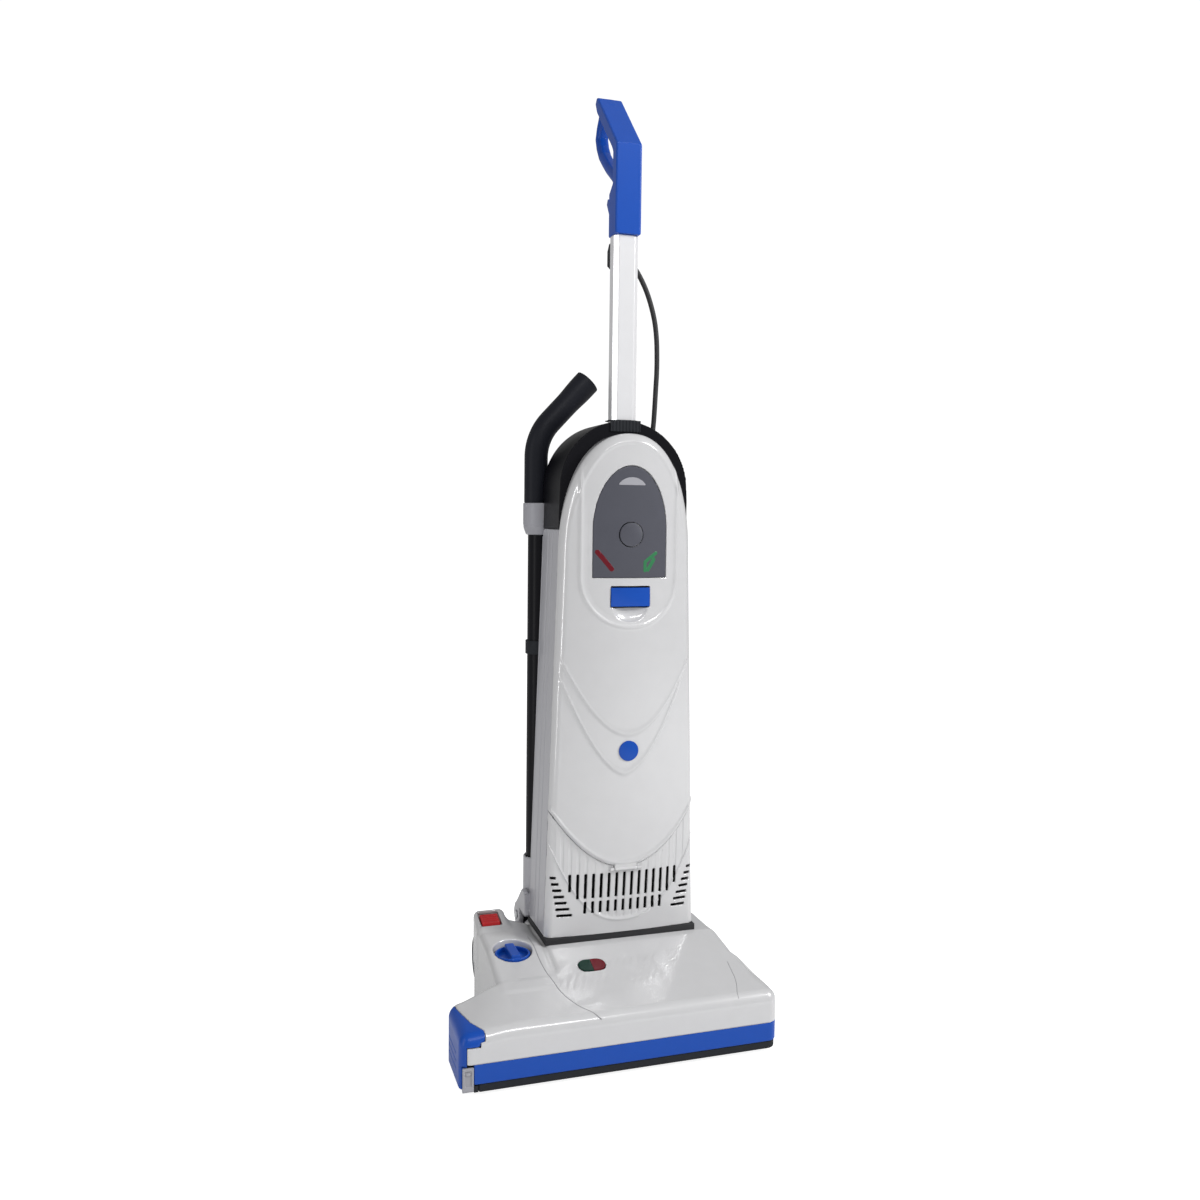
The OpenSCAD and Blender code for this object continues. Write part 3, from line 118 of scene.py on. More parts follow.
def polygonField(u, v, points):
    # signed distance to a closed polygon: nearest edge, with the sign from edge crossings
    best, sign = None, 1.0
    for i in range(len(points)):
        ax, ay = points[i - 1]
        bx, by = points[i]
        ex, ey = bx - ax, by - ay
        wx, wy = u - ax, v - ay
        t = np.clip((wx * ex + wy * ey) / (ex * ex + ey * ey), 0, 1)
        d = (wx - ex * t) ** 2 + (wy - ey * t) ** 2
        best = d if best is None else np.minimum(best, d)
        crosses = ((ay > v) != (by > v)) & (u < (bx - ax) * (v - ay) / (by - ay + 1e-12) + ax)
        sign = np.where(crosses, -sign, sign)
    return sign * np.sqrt(best)


def chainField(u, v, points):
    # distance in the plane to a row of joined straight lines
    best = None
    for (ax, ay), (bx, by) in zip(points[:-1], points[1:]):
        ex, ey = bx - ax, by - ay
        t = np.clip(((u - ax) * ex + (v - ay) * ey) / (ex * ex + ey * ey), 0, 1)
        d = np.hypot(u - ax - ex * t, v - ay - ey * t)
        best = d if best is None else np.minimum(best, d)
    return best


def smoothStep(a, b, v):
    # 0 at a, 1 at b, eased between by t squared times (3 - 2t)
    t = np.clip((v - a) / (b - a), 0, 1)
    return t * t * (3 - 2 * t)


def ridge(distance, width):
    # a rounded bump across a line: e to the minus square of distance over width
    return np.exp(-(distance / width) ** 2)


def makeObject(name, points, faces, normals=None):
    # points become one mesh object in metres, turned to face outwards by the sign of its volume
    points = np.asarray(points, float)
    faces = np.asarray(faces, np.int32)
    a, b, c, d = [points[faces[:, i]] for i in range(4)]
    volume = np.einsum("ij,ij->", a, np.cross(b, c) + np.cross(c, d))
    if volume < 0:
        faces = faces[:, ::-1]
    mesh = bpy.data.meshes.new(name)
    mesh.vertices.add(len(points))
    mesh.vertices.foreach_set("co", (points * toMetres).astype(np.float32).ravel())
    mesh.loops.add(faces.size)
    mesh.loops.foreach_set("vertex_index", faces.ravel())
    mesh.polygons.add(len(faces))
    mesh.polygons.foreach_set("loop_start", np.arange(len(faces), dtype=np.int32) * 4)
    mesh.polygons.foreach_set("loop_total", np.full(len(faces), 4, np.int32))
    mesh.update(calc_edges=True)
    mesh.validate()
    mesh.polygons.foreach_set("use_smooth", np.ones(len(mesh.polygons), bool))
    if normals is not None and len(mesh.vertices) == len(normals):
        mesh.normals_split_custom_set_from_vertices(np.asarray(normals, float).tolist())
    obj = bpy.data.objects.new(name, mesh)
    bpy.context.scene.collection.objects.link(obj)
    return obj


def gradient(field, p, h=0.25):
    # slope of the field at each point by central differences
    g = np.empty_like(p)
    for i in range(3):
        a, b = p.copy(), p.copy()
        a[:, i] += h
        b[:, i] -= h
        g[:, i] = (field(*a.T) - field(*b.T)) / (2 * h)
    return g


def fieldMesh(name, field, low, high, step):
    # one point in every grid cell that the surface crosses, the mean of the crossings on its edges;
    # each is then moved onto the surface by value over slope, but at most 0.8 of a cell
    step = np.broadcast_to(np.asarray(step, float), 3)
    axes = [np.arange(low[i] - 1.5 * step[i], high[i] + 1.6 * step[i], step[i]) for i in range(3)]
    grid = np.meshgrid(*axes, indexing="ij", sparse=True)
    v = np.broadcast_to(field(*grid), [len(a) for a in axes]).astype(np.float32)
    v = np.where(v == 0, 1e-5, v)
    cells = np.array(v.shape) - 1
    ids, places, quads = [], [], []
    for axis in range(3):
        a = np.take(v, range(v.shape[axis] - 1), axis)
        b = np.take(v, range(1, v.shape[axis]), axis)
        at = np.array(np.nonzero((a < 0) != (b < 0)))
        va, vb = a[tuple(at)], b[tuple(at)]
        place = at.astype(np.float64)
        place[axis] += va / (va - vb)
        one, two = (axis + 1) % 3, (axis + 2) % 3
        keep = (at[one] > 0) & (at[two] > 0) & (at[one] < cells[one]) & (at[two] < cells[two])
        at, place, va = at[:, keep], place[:, keep], va[keep]
        corners = []
        for s, t in ((0, 0), (-1, 0), (-1, -1), (0, -1)):  # the four cells round an edge make one face
            c = at.copy()
            c[one] += s
            c[two] += t
            corners.append(np.ravel_multi_index(tuple(c), tuple(cells)))
            ids.append(corners[-1])
            places.append(place.T)
        corners = np.array(corners).T
        corners[va < 0] = corners[va < 0][:, ::-1]
        quads.append(corners[:, ::-1])
    ids, places, quads = np.concatenate(ids), np.concatenate(places), np.concatenate(quads)
    found, inverse = np.unique(ids, return_inverse=True)
    count = np.bincount(inverse)
    p = np.stack([np.bincount(inverse, weights=places[:, i]) / count for i in range(3)], 1)
    p = p * step + np.array([a[0] for a in axes])
    faces = np.searchsorted(found, quads)
    start = p.copy()
    for _ in range(4):
        g = gradient(field, p)
        move = g * (field(*p.T) / (np.sum(g * g, 1) + 1e-9))[:, None]
        p = np.clip(p - np.clip(move, -step, step), start - 0.8 * step, start + 0.8 * step)
    g = gradient(field, p)
    return makeObject(name, p, faces, g / (np.linalg.norm(g, axis=1)[:, None] + 1e-9))


def gridFaces(rows, columns, closeRows=False, closeColumns=False):
    # quads over a grid of points numbered row by row
    r = np.arange(rows if closeRows else rows - 1)
    c = np.arange(columns if closeColumns else columns - 1)
    i, j = np.meshgrid(r, c, indexing="ij")
    a, b = i * columns + j, i * columns + (j + 1) % columns
    d, e = ((i + 1) % rows) * columns + j, ((i + 1) % rows) * columns + (j + 1) % columns
    return np.stack([a, b, e, d], -1).reshape(-1, 4)


def tubeAlong(name, path, radii, sides=32, ahead=None, closeRows=False):
    # a ring of points round each point of a path: side times cosine plus up times sine, times the radius
    path = np.asarray(path, float)
    radii = np.broadcast_to(np.asarray(radii, float), len(path))
    if ahead is None:
        ahead = np.gradient(path, axis=0)
        path = np.concatenate([path[:1], path, path[-1:]])
        radii = np.concatenate([[0.05], radii, [0.05]])  # both ends close on a tiny ring
        ahead = np.concatenate([ahead[:1], ahead, ahead[-1:]])
    ahead = ahead / np.linalg.norm(ahead, axis=1)[:, None]
    side = np.cross([0.0, 1.0, 0.0], ahead)
    side /= np.linalg.norm(side, axis=1)[:, None]
    up = np.cross(ahead, side)
    turn = np.linspace(0, 2 * np.pi, sides, endpoint=False)
    ring = np.cos(turn)[None, :, None] * side[:, None] + np.sin(turn)[None, :, None] * up[:, None]
    points = (path[:, None] + ring * radii[:, None, None]).reshape(-1, 3)
    return makeObject(name, points, gridFaces(len(path), sides, closeRows, True))


def lathe(name, outline, centre, sides=72):
    # a closed outline of (radius, height) turned round an upright axis through centre
    outline = np.asarray(outline, float)
    turn = np.linspace(0, 2 * np.pi, sides, endpoint=False)
    r, h = outline[:, 0][:, None], outline[:, 1][:, None]
    points = np.stack([r * np.cos(turn), r * np.sin(turn), h + 0 * turn], -1).reshape(-1, 3)
    obj = makeObject(name, points + np.asarray(centre, float), gridFaces(len(outline), sides, True, True))
    obj.data.set_sharp_from_angle(angle=math.radians(40))
    return obj


def softenEdges(obj, width=0.6, angle=35, segments=2):
    # rounds the sharp edges of a piece a little, so they catch the light
    mod = obj.modifiers.new("edges", "BEVEL")
    mod.width = width * toMetres
    mod.segments = segments
    mod.limit_method = "ANGLE"
    mod.angle_limit = math.radians(angle)
    mod.harden_normals = True
    return obj


def linkAll(tree, pairs):
    # joins each output to its input
    for a, b in pairs:
        tree.links.new(a, b)


def makeMottle():
    # shared group: object coordinates to a slow mottle, a fine grain and a normal bumped by the grain
    tree = bpy.data.node_groups.new("surfaceMottle", "ShaderNodeTree")
    for label, default in (("Scale", 60.0), ("Grain", 900.0), ("Bump", 0.05), ("Depth", 0.0002)):
        socket = tree.interface.new_socket(label, in_out="INPUT", socket_type="NodeSocketFloat")
        socket.default_value = default
    for label, kind in (("Mottle", "Float"), ("Fine", "Float"), ("Normal", "Vector")):
        tree.interface.new_socket(label, in_out="OUTPUT", socket_type="NodeSocket" + kind)
    start, end = tree.nodes.new("NodeGroupInput"), tree.nodes.new("NodeGroupOutput")
    place = tree.nodes.new("ShaderNodeTexCoord")
    slow, fine = tree.nodes.new("ShaderNodeTexNoise"), tree.nodes.new("ShaderNodeTexNoise")
    slow.inputs["Detail"].default_value = 5.0
    fine.inputs["Detail"].default_value = 3.0
    bump = tree.nodes.new("ShaderNodeBump")
    linkAll(tree, [
        (place.outputs["Object"], slow.inputs["Vector"]), (place.outputs["Object"], fine.inputs["Vector"]),
        (start.outputs["Scale"], slow.inputs["Scale"]), (start.outputs["Grain"], fine.inputs["Scale"]),
        (fine.outputs["Fac"], bump.inputs["Height"]), (start.outputs["Bump"], bump.inputs["Strength"]),
        (start.outputs["Depth"], bump.inputs["Distance"]), (slow.outputs["Fac"], end.inputs["Mottle"]),
        (fine.outputs["Fac"], end.inputs["Fine"]), (bump.outputs["Normal"], end.inputs["Normal"])])
    return tree


mottleGroup = makeMottle()
# colour, roughness, how much the colour varies, fineness and strength of the grain, and metal, gloss or coat
looks = {
    "pearl_shell": {"color": (0.57, 0.57, 0.58), "rough": 0.22, "vary": 0.03, "grain": 1500, "bump": 0.02,
                    "spec": 0.85, "coat": 1.0},
    "grey_shell": {"color": (0.42, 0.42, 0.45), "rough": 0.33, "vary": 0.04, "grain": 1500, "bump": 0.05,
                   "coat": 0.25},
    "black_shell": {"color": (0.004, 0.004, 0.006), "rough": 0.34, "vary": 0.1, "grain": 1200, "bump": 0.06,
                    "spec": 0.15},
    "dark_plastic": {"color": (0.020, 0.022, 0.026), "rough": 0.5, "vary": 0.1, "grain": 1100, "bump": 0.15,
                     "spec": 0.12},
    "panel_grey": {"color": (0.072, 0.074, 0.092), "rough": 0.38, "vary": 0.06, "grain": 1300, "bump": 0.1,
                   "spec": 0.35},
    "bracket_grey": {"color": (0.33, 0.33, 0.36), "rough": 0.4, "vary": 0.05, "grain": 1200, "bump": 0.06},
    "blue_plastic": {"color": (0.005, 0.066, 0.39), "rough": 0.3, "vary": 0.05, "grain": 1400, "bump": 0.03,
                     "spec": 0.28},
    "red_plastic": {"color": (0.60, 0.024, 0.03), "rough": 0.3, "vary": 0.06, "grain": 1400, "bump": 0.04,
                    "spec": 0.3},
    "green_lens": {"color": (0.006, 0.032, 0.022), "rough": 0.2, "vary": 0.05, "grain": 1400, "bump": 0.0,
                   "spec": 0.3},
    "red_lens": {"color": (0.13, 0.007, 0.014), "rough": 0.2, "vary": 0.05, "grain": 1400, "bump": 0.0,
                 "spec": 0.3},
    "charcoal_grip": {"color": (0.011, 0.012, 0.017), "rough": 0.45, "vary": 0.08, "grain": 1000,
                      "bump": 0.12, "spec": 0.15},
    "pole_metal": {"color": (0.90, 0.90, 0.92), "rough": 0.22, "vary": 0.03, "grain": 500, "bump": 0.01,
                   "metal": 0.4},
    "steel": {"color": (0.58, 0.59, 0.61), "rough": 0.32, "vary": 0.08, "grain": 600, "bump": 0.06,
              "metal": 1.0},
    "rubber": {"color": (0.014, 0.014, 0.016), "rough": 0.62, "vary": 0.12, "grain": 900, "bump": 0.2},
    "tyre_rubber": {"color": (0.04, 0.04, 0.043), "rough": 0.7, "vary": 0.12, "grain": 700, "bump": 0.25},
    "hub_plastic": {"color": (0.45, 0.46, 0.48), "rough": 0.45, "vary": 0.06, "grain": 1200, "bump": 0.08},
    "filter_media": {"color": (0.008, 0.008, 0.009), "rough": 0.95, "vary": 0.08, "grain": 700, "bump": 0.5,
                     "spec": 0.1},
    "foam": {"color": (0.05, 0.052, 0.06), "rough": 1.0, "vary": 0.2, "grain": 420, "bump": 1.0},
    "bag_paper": {"color": (0.58, 0.46, 0.30), "rough": 0.9, "vary": 0.1, "grain": 260, "bump": 0.6},
    "card": {"color": (0.42, 0.30, 0.17), "rough": 0.85, "vary": 0.1, "grain": 500, "bump": 0.3},
    "bristle": {"color": (0.02, 0.02, 0.022), "rough": 0.6, "vary": 0.2, "grain": 1500, "bump": 0.4},
    "nylon": {"color": (0.62, 0.61, 0.56), "rough": 0.45, "vary": 0.05, "grain": 1100, "bump": 0.08},
    "motor_metal": {"color": (0.4, 0.41, 0.43), "rough": 0.4, "vary": 0.08, "grain": 600, "bump": 0.1,
                    "metal": 0.6},
    "markGreen": {"color": (0.02, 0.17, 0.06), "rough": 0.35, "vary": 0.05, "grain": 1200, "bump": 0.02},
    "seamLine": {"color": (0.24, 0.24, 0.25), "rough": 0.7, "vary": 0.05, "grain": 1200, "bump": 0.02},
}


def makeMaterial(name, look):
    # colour between (1 - vary) and (1 + vary) of its value by the mottle, roughness and bump by the grain
    mat = bpy.data.materials.new(name)
    mat.use_nodes = True
    tree = mat.node_tree
    shader = tree.nodes["Principled BSDF"]
    group = tree.nodes.new("ShaderNodeGroup")
    group.node_tree = mottleGroup
    group.inputs["Scale"].default_value = 55.0
    group.inputs["Grain"].default_value = look["grain"]
    group.inputs["Bump"].default_value = look["bump"]
    mix = tree.nodes.new("ShaderNodeMix")
    mix.data_type = "RGBA"  # its colours are inputs 6 and 7 and output 2
    c = look["color"]
    mix.inputs[6].default_value = (*[v * (1 - look["vary"]) for v in c], 1)
    mix.inputs[7].default_value = (*[min(1, v * (1 + look["vary"])) for v in c], 1)
    rough = tree.nodes.new("ShaderNodeMapRange")
    rough.inputs["To Min"].default_value = look["rough"] * 0.88
    rough.inputs["To Max"].default_value = min(1, look["rough"] * 1.14)
    linkAll(tree, [
        (group.outputs["Mottle"], mix.inputs[0]), (mix.outputs[2], shader.inputs["Base Color"]),
        (group.outputs["Fine"], rough.inputs["Value"]),
        (rough.outputs["Result"], shader.inputs["Roughness"]),
        (group.outputs["Normal"], shader.inputs["Normal"])])
    shader.inputs["Metallic"].default_value = look.get("metal", 0.0)
    shader.inputs["Specular IOR Level"].default_value = look.get("spec", 0.5)
    shader.inputs["Coat Weight"].default_value = look.get("coat", 0.0)
    shader.inputs["Coat Roughness"].default_value = 0.06
    return mat


materials = {name: makeMaterial(name, look) for name, look in looks.items()}
slotOf = {s["node"]: s["material_slot"] for s in frame["record"]["subparts"]}
for node, obj in frame["nodes"].items():
    obj.data.materials.clear()
    obj.data.materials.append(materials[slotOf[node]])
    obj.data.shade_smooth()
    obj.data.set_sharp_from_angle(angle=math.radians(32))
print("materials made", len(materials))


def dress(obj, bodyName, material, nodes=()):
    # gives a piece its material and the body it moves with, and hides the CAD nodes it stands for
    obj.data.materials.clear()
    obj.data.materials.append(materials[material])
    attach(obj, bodyName)
    if nodes:
        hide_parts(*nodes)
    return obj


def lipTop(y):
    # height of the sloping top: the lip's height plus the slope times the way back from its start
    slope = (head["deck"] - 3 - head["lip"]) / head["slopeLength"]
    return head["lip"] + slope * (y - head["front"] - head["slopeStart"])


def headPlan(x, y):
    # the wide brush box in plan
    return rectField(x, y, -head["half"], head["half"], head["front"], head["boxRear"], head["corner"])


# the deck's right side leans out towards the front: places along y, and by how much
flareAt = [-150, -100, -79, -10, 80]
flareBy = [10, 12.6, 7.5, 0.8, 0]


def headForm(x, y, z):
    # brush box and deck share one plan and one top, which drops at both ends; tower and horn are joined on.
    # A height over a slanted top times the slant's cosine is the distance to it
    ends = smoothStep(128, 196, np.abs(x))
    rear = smoothStep(head["front"], head["boxRear"], y)
    leftDrop = ends * (5 + 15 * rear)
    rightDrop = rear * (4 * ends + 14 * smoothStep(174, 197, x))
    drop = np.where(x < 0, leftDrop, rightDrop)
    flare = np.interp(y, flareAt, flareBy)
    plan = join(headPlan(x, y), rectField(x - flare * (x > 0), y, -68, 172, -150, 80, 12), 10)
    main = meet(plan, (z - np.minimum(lipTop(y), head["deck"]) + drop) * 0.94, 12)
    towerTop = np.minimum(lipTop(y), 114.5 + 0.11 * y)
    towerTop = towerTop - 9 * smoothStep(-100, -62, x) * smoothStep(-40, 40, y)
    tower = meet(rectField(x, y, -139, -62, -110, 58, 10), (z - towerTop) * 0.965, 9)
    horn = meet(rectField(x, y, -138, -96, 24, 69, 8), (z - 121 - 0.3 * (y - 32)) * 0.957, 7)
    horn = meet(meet(horn, (y - 57 - 0.22 * (z - 71)) * 0.977, 3), 71 - z)
    return join(join(main, tower, 3), horn, 6)


# outlines on the head's top, seen from above: the end cap's wedge and two parting lines
capWedge = [(-210, -91), (-190, -93), (-181, -135), (-169, -157), (-169, -162), (-210, -174)]
leftSeam = [(-78, 6), (-77.5, -20), (-77, -59), (-73, -88), (-66, -117), (-54, -140), (-37, -158),
            (-31, -162.5)]
rightSeam = [(159, -96), (157, -112), (155, -127), (151, -142), (146, -154), (145, -161)]
# the long round opening for the two lenses
pill = {"x": -15.5, "y": -74.0, "half": 17.5, "deep": 11, "round": 10.9, "slant": 0.967}


def pillField(x, y, grow):
    # a rectangle with round ends, its depth measured along the sloping top
    left, right = pill["x"] - pill["half"] - grow, pill["x"] + pill["half"] + grow
    deep = pill["deep"] + grow
    return rectField(x, (y - pill["y"]) / pill["slant"], left, right, -deep, deep, pill["round"])


def headCoverField(x, y, z):
    # the head's form hollowed to its wall, with the knob's well added and every opening cut out
    solid = headForm(x, y, z)
    shell = meet(solid, -(solid + 4.2), 0.3)
    r = np.hypot(x - knobAt[0], y - knobAt[1])
    shell = join(shell, meet(meet(solid, r - 28.5), 94 - z))
    shell = meet(shell, -meet(r - 24.5, 97 - z, 0.5), 1.6)
    shell = meet(shell, -meet(r - 4.2, 90 - z))
    shell = meet(shell, head["foot"] - z)
    # openings for the stripe, the end cap, the pedal, the lenses and the duct
    band = z - 38.8
    shell = meet(shell, -meet(y + 160.2, band), 0.4)
    shell = meet(shell, -meet(192.7 - x, band))
    shell = meet(shell, -meet(meet(178 - x, y + 147), band))
    shell = meet(shell, -(x + 189.7))
    shell = meet(shell, -meet(polygonField(x, y, capWedge) - 0.3, 58 - z), 0.5)
    shell = meet(shell, -blockField(x, y, z, (-132.5, 32, 108.8), (-105.5, 63.5, 150), 1.5), 0.8)
    shell = meet(shell, -meet(pillField(x, y, 0.2), 80 - z), 0.7)
    return meet(shell, -blockField(x, y, z, (16, 76.9, 98), (62, 90, 120)))


def topHeight(field, x, y, low=40.0, high=130.0):
    # the highest surface over each point, found by halving the height between low and high
    a, b = np.full(len(x), low), np.full(len(x), high)
    for _ in range(26):
        middle = (a + b) / 2
        inside = field(x, y, middle) < 0
        a, b = np.where(inside, middle, a), np.where(inside, b, middle)
    return a


def smoothPath(points, count):
    # an even walk along a spline through the points, each stretch a cubic of the four round it
    p = np.asarray(points, float)
    p = np.concatenate([2 * p[:1] - p[1:2], p, 2 * p[-1:] - p[-2:-1]])
    t = np.linspace(0, len(p) - 3 - 1e-6, 40 * len(p))
    i = t.astype(int)
    f = (t - i)[:, None]
    a, b, c, d = p[i], p[i + 1], p[i + 2], p[i + 3]
    square, cube = 2 * a - 5 * b + 4 * c - d, 3 * b - a - 3 * c + d
    walk = 0.5 * (2 * b + (c - a) * f + square * f ** 2 + cube * f ** 3)
    along = np.concatenate([[0], np.cumsum(np.linalg.norm(np.diff(walk, axis=0), axis=1))])
    even = np.linspace(0, along[-1], count)
    return np.stack([np.interp(even, along, walk[:, k]) for k in range(p.shape[1])], 1)


def seamStrip(name, points, width):
    # a thin dark strip laid on the head's top along a parting line
    path = smoothPath(points, 90)
    ahead = np.gradient(path, axis=0)
    side = np.stack([-ahead[:, 1], ahead[:, 0]], 1) / np.linalg.norm(ahead, axis=1)[:, None]
    rows = []
    for offset, lift in ((-0.5, -0.5), (-0.5, 0.05), (0.5, 0.05), (0.5, -0.5)):
        p = path + side * width * offset
        rows.append(np.column_stack([p, topHeight(headForm, p[:, 0], p[:, 1]) + lift]))
    strip = makeObject(name, np.concatenate(rows), gridFaces(4, len(path), True))
    return dress(strip, "base", "seamLine")


def stripeField(x, y, z, inset, z0, z1, startX):
    # the band round the front and right end, its back flat against the frame
    plan = headPlan(x, y) + inset
    band = meet(plan, -(plan + 4.4 - inset))
    band = meet(meet(band, startX - x), y + 87.2)
    band = meet(band, join(y + 151, 184 - x))
    return meet(band, span(z, z0, z1), 1.0)


def capField(x, y, z):
    # the head's form left of a line and inside the wedge, hollowed, with ridges sunk in its end face
    solid = headForm(x, y, z)
    where = join(x + 190, meet(polygonField(x, y, capWedge), 59 - z))
    cap = meet(solid, where, 0.6)
    cap = meet(cap, -meet(solid + 3, -195 - x))
    grooves = smoothStep(-196.5, -197.5, x) * smoothStep(-141, -138, y) * smoothStep(-93, -96, y)
    for k in range(3):
        cap = cap + 1.1 * ridge(z - 25 - 9 * k, 1.1) * grooves
    cap = meet(cap, -blockField(x, y, z, (-195.4, -170, 0), (-189, -159.2, 36.5)))
    return meet(cap, head["foot"] - z)


def buildHead():
    # every piece of the floor head that stands for a CAD node, and its two parting lines
    cover = fieldMesh("headCover", headCoverField, (-198, -165, 9), (198, 82, 131), (2.5, 1.9, 1.5))
    dress(cover, "base", "pearl_shell", ["head_cover"])
    seamStrip("seamLeft", leftSeam, 1.0)
    seamStrip("seamRight", rightSeam, 0.7)
    stripe = fieldMesh("frontStripe", lambda x, y, z: stripeField(x, y, z, 0.0, 15.5, 38.5, -182),
                       (-183, -165, 15), (198, -86, 39), (2.2, 1.0, 1.4))
    dress(stripe, "base", "blue_plastic", ["front_stripe"])
    bumper = fieldMesh("bumperBand", lambda x, y, z: stripeField(x, y, z, 1.2, 5.6, 15.2, -176.6),
                       (-178, -165, 5), (198, -86, 16), (2.2, 1.0, 1.2))
    dress(bumper, "base", "dark_plastic", ["bumper"])
    cap = fieldMesh("endCap", capField, (-198, -165, 9), (-168, -79, 80), (1.2, 1.3, 1.3))
    dress(cap, "side_cap", "blue_plastic", ["end_cap"])

    def knobField(x, y, z):
        # a rim less its bowl, a bar and the spindle; the ribs are a square wave of the angle
        r = np.hypot(x - knobAt[0], y - knobAt[1])
        rim = meet(meet(r - 22.5, span(z, 97.3, 106.5), 1.2), -meet(r - 19.5, 101 - z, 0.5), 0.8)
        bar = meet(meet(span(x, knobAt[0] - 6, knobAt[0] + 6), span(z, 100, 111), 1.6), r - 20.5, 1.0)
        turn = np.arctan2(y - knobAt[1], x - knobAt[0])
        rim = rim + 0.5 * (np.cos(turn * 30) > 0.2) * smoothStep(21.5, 22.3, r)
        return join(join(rim, bar, 0.8), meet(r - 4, span(z, 10.7, 99)))

    knob = fieldMesh("heightKnob", knobField, (-129, -50, 10), (-83, -4, 112), (0.9, 0.9, 0.9))
    dress(knob, "knob", "blue_plastic", ["height_knob"])

    # pedal: a grooved pad on two arms, a hollow barrel on the pin and a boss inside the spring
    padOutline = [(34, 116.8), (36, 123.8), (56, 127.8), (60, 123.8), (60, 118.8), (40, 116.8)]
    armOutline = [(8, 98), (14, 104), (36, 117.8), (40, 117.8), (16, 98)]

    def pedalField(x, y, z):
        # pad, arms, barrel and boss joined, less the pin's bore; a groove lies at the nearest groove line
        across = np.abs(x + 119)
        pad = meet(polygonField(y, z, padOutline), across - 12, 1.4)
        at = np.clip(np.round((y - 39.8) / 4.5), 0, 3) * 4.5 + 39.8
        pad = pad + 0.8 * ridge(y - at, 0.7) * smoothStep(9.4, 8.4, across) * smoothStep(121, 122, z)
        arms = meet(polygonField(y, z, armOutline), np.abs(across - 9.5) - 2.5, 0.5)
        barrel = meet(np.hypot(y - 12, z - 98) - 6, across - 12, 0.6)
        boss = meet(np.hypot(x + 119, y - 46) - 3.2, span(z, 111.8, 118.8), 0.4)
        solid = join(join(pad, arms, 0.6), join(barrel, boss))
        return meet(solid, -(np.hypot(y - 12, z - 98) - 3.06))

    pedal = fieldMesh("footPedal", pedalField, (-131, 6, 92), (-107, 60, 128), 0.6)
    dress(pedal, "foot_pedal", "red_plastic", ["pedal"])

    def latchField(x, y, z):
        # a plate less its recess, joined to barrel, lip and pin
        plate = blockField(x, y, z, (-195, -165, 9.5), (-182.3, -161.6, 35.5), 0.7)
        plate = meet(plate, -blockField(x, y, z, (-192.6, -168, 14), (-184.8, -163.6, 32), 0.8), 0.5)
        plate = join(plate, meet(np.hypot(y + 162.2, z - 9.5) - 2.75, span(x, -195, -182.3), 0.4), 0.4)
        lip = blockField(x, y, z, (-191.4, -164.7, 26.5), (-186.0, -162, 29.5), 0.5)
        return join(join(plate, lip, 0.4), meet(np.hypot(y + 162.2, z - 9.5) - 1.18, span(x, -190, -178)))

    latch = fieldMesh("capLatch", latchField, (-195, -165, 6), (-178, -159, 36), 0.6)
    dress(latch, "cap_latch", "bracket_grey", ["end_latch"])
    print("head built")


def halfWidth(z):
    # half the width, falling in a straight line from foot to shoulder
    t = (z - body["foot"]) / (body["shoulder"] - body["foot"])
    return body["footHalf"] - (body["footHalf"] - body["shoulderHalf"]) * t


def outlineField(x, z):
    # the front view outline: straight tapering sides, then a superellipse arch
    u = np.abs(x - body["x"])
    w = halfWidth(body["archFoot"])
    n = body["archPower"]
    rise = body["archTop"] - body["archFoot"]
    f = np.maximum(z - body["archFoot"], 0) / rise
    rho = np.maximum(((u / w) ** n + f ** n) ** (1 / n), 0.02)
    steep = np.hypot((u / w) ** (n - 1) / w, f ** (n - 1) / rise)
    arch = (rho - 1) * rho ** (n - 1) / np.maximum(steep, 2e-3)
    return np.where(z > body["archFoot"], arch, u - halfWidth(z))


def crownDepth(z):
    # the bulge of the front: it grows by a quarter wave over the first 200 and then stays
    return body["crown"] * (0.22 + 0.78 * np.sin(np.pi / 2 * np.clip((z - body["foot"]) / 200, 0, 1)))


def uLine(x):
    # height of the door's lower edge: a parabola across the width
    return 209 + 82 * ((x - body["x"]) / body["footHalf"]) ** 2


def faceField(x, y, z):
    # the crowned front face: a parabola across the width
    u = (x - body["x"]) / halfWidth(np.minimum(z, body["archFoot"]))
    return (body["frontY"] - crownDepth(z) * (1 - np.minimum(u * u, 1.3)) - y) * 0.985


def panelArea(x, z, grow=0.0):
    # the dark panel: a rectangle under half an ellipse
    arch = meet(np.hypot(x - 39, (z - 640) * 48.5 / 79.5) - 48.5 - grow, 640 - z)
    return join(arch, rectField(x, z, -9.5 - grow, 87.5 + grow, 580 - grow, 641))


def scoopField(x, y, z, grow):
    # the finger hollow under the latch: an ellipsoid, grown by a given wall
    u, v, w = (x - 39) / (24 + grow), (y + 47.5) / (8.5 + grow), (z - 541) / (17 + grow)
    return (np.sqrt(u ** 2 + w ** 2 + v ** 2) - 1) * (8.5 + grow)


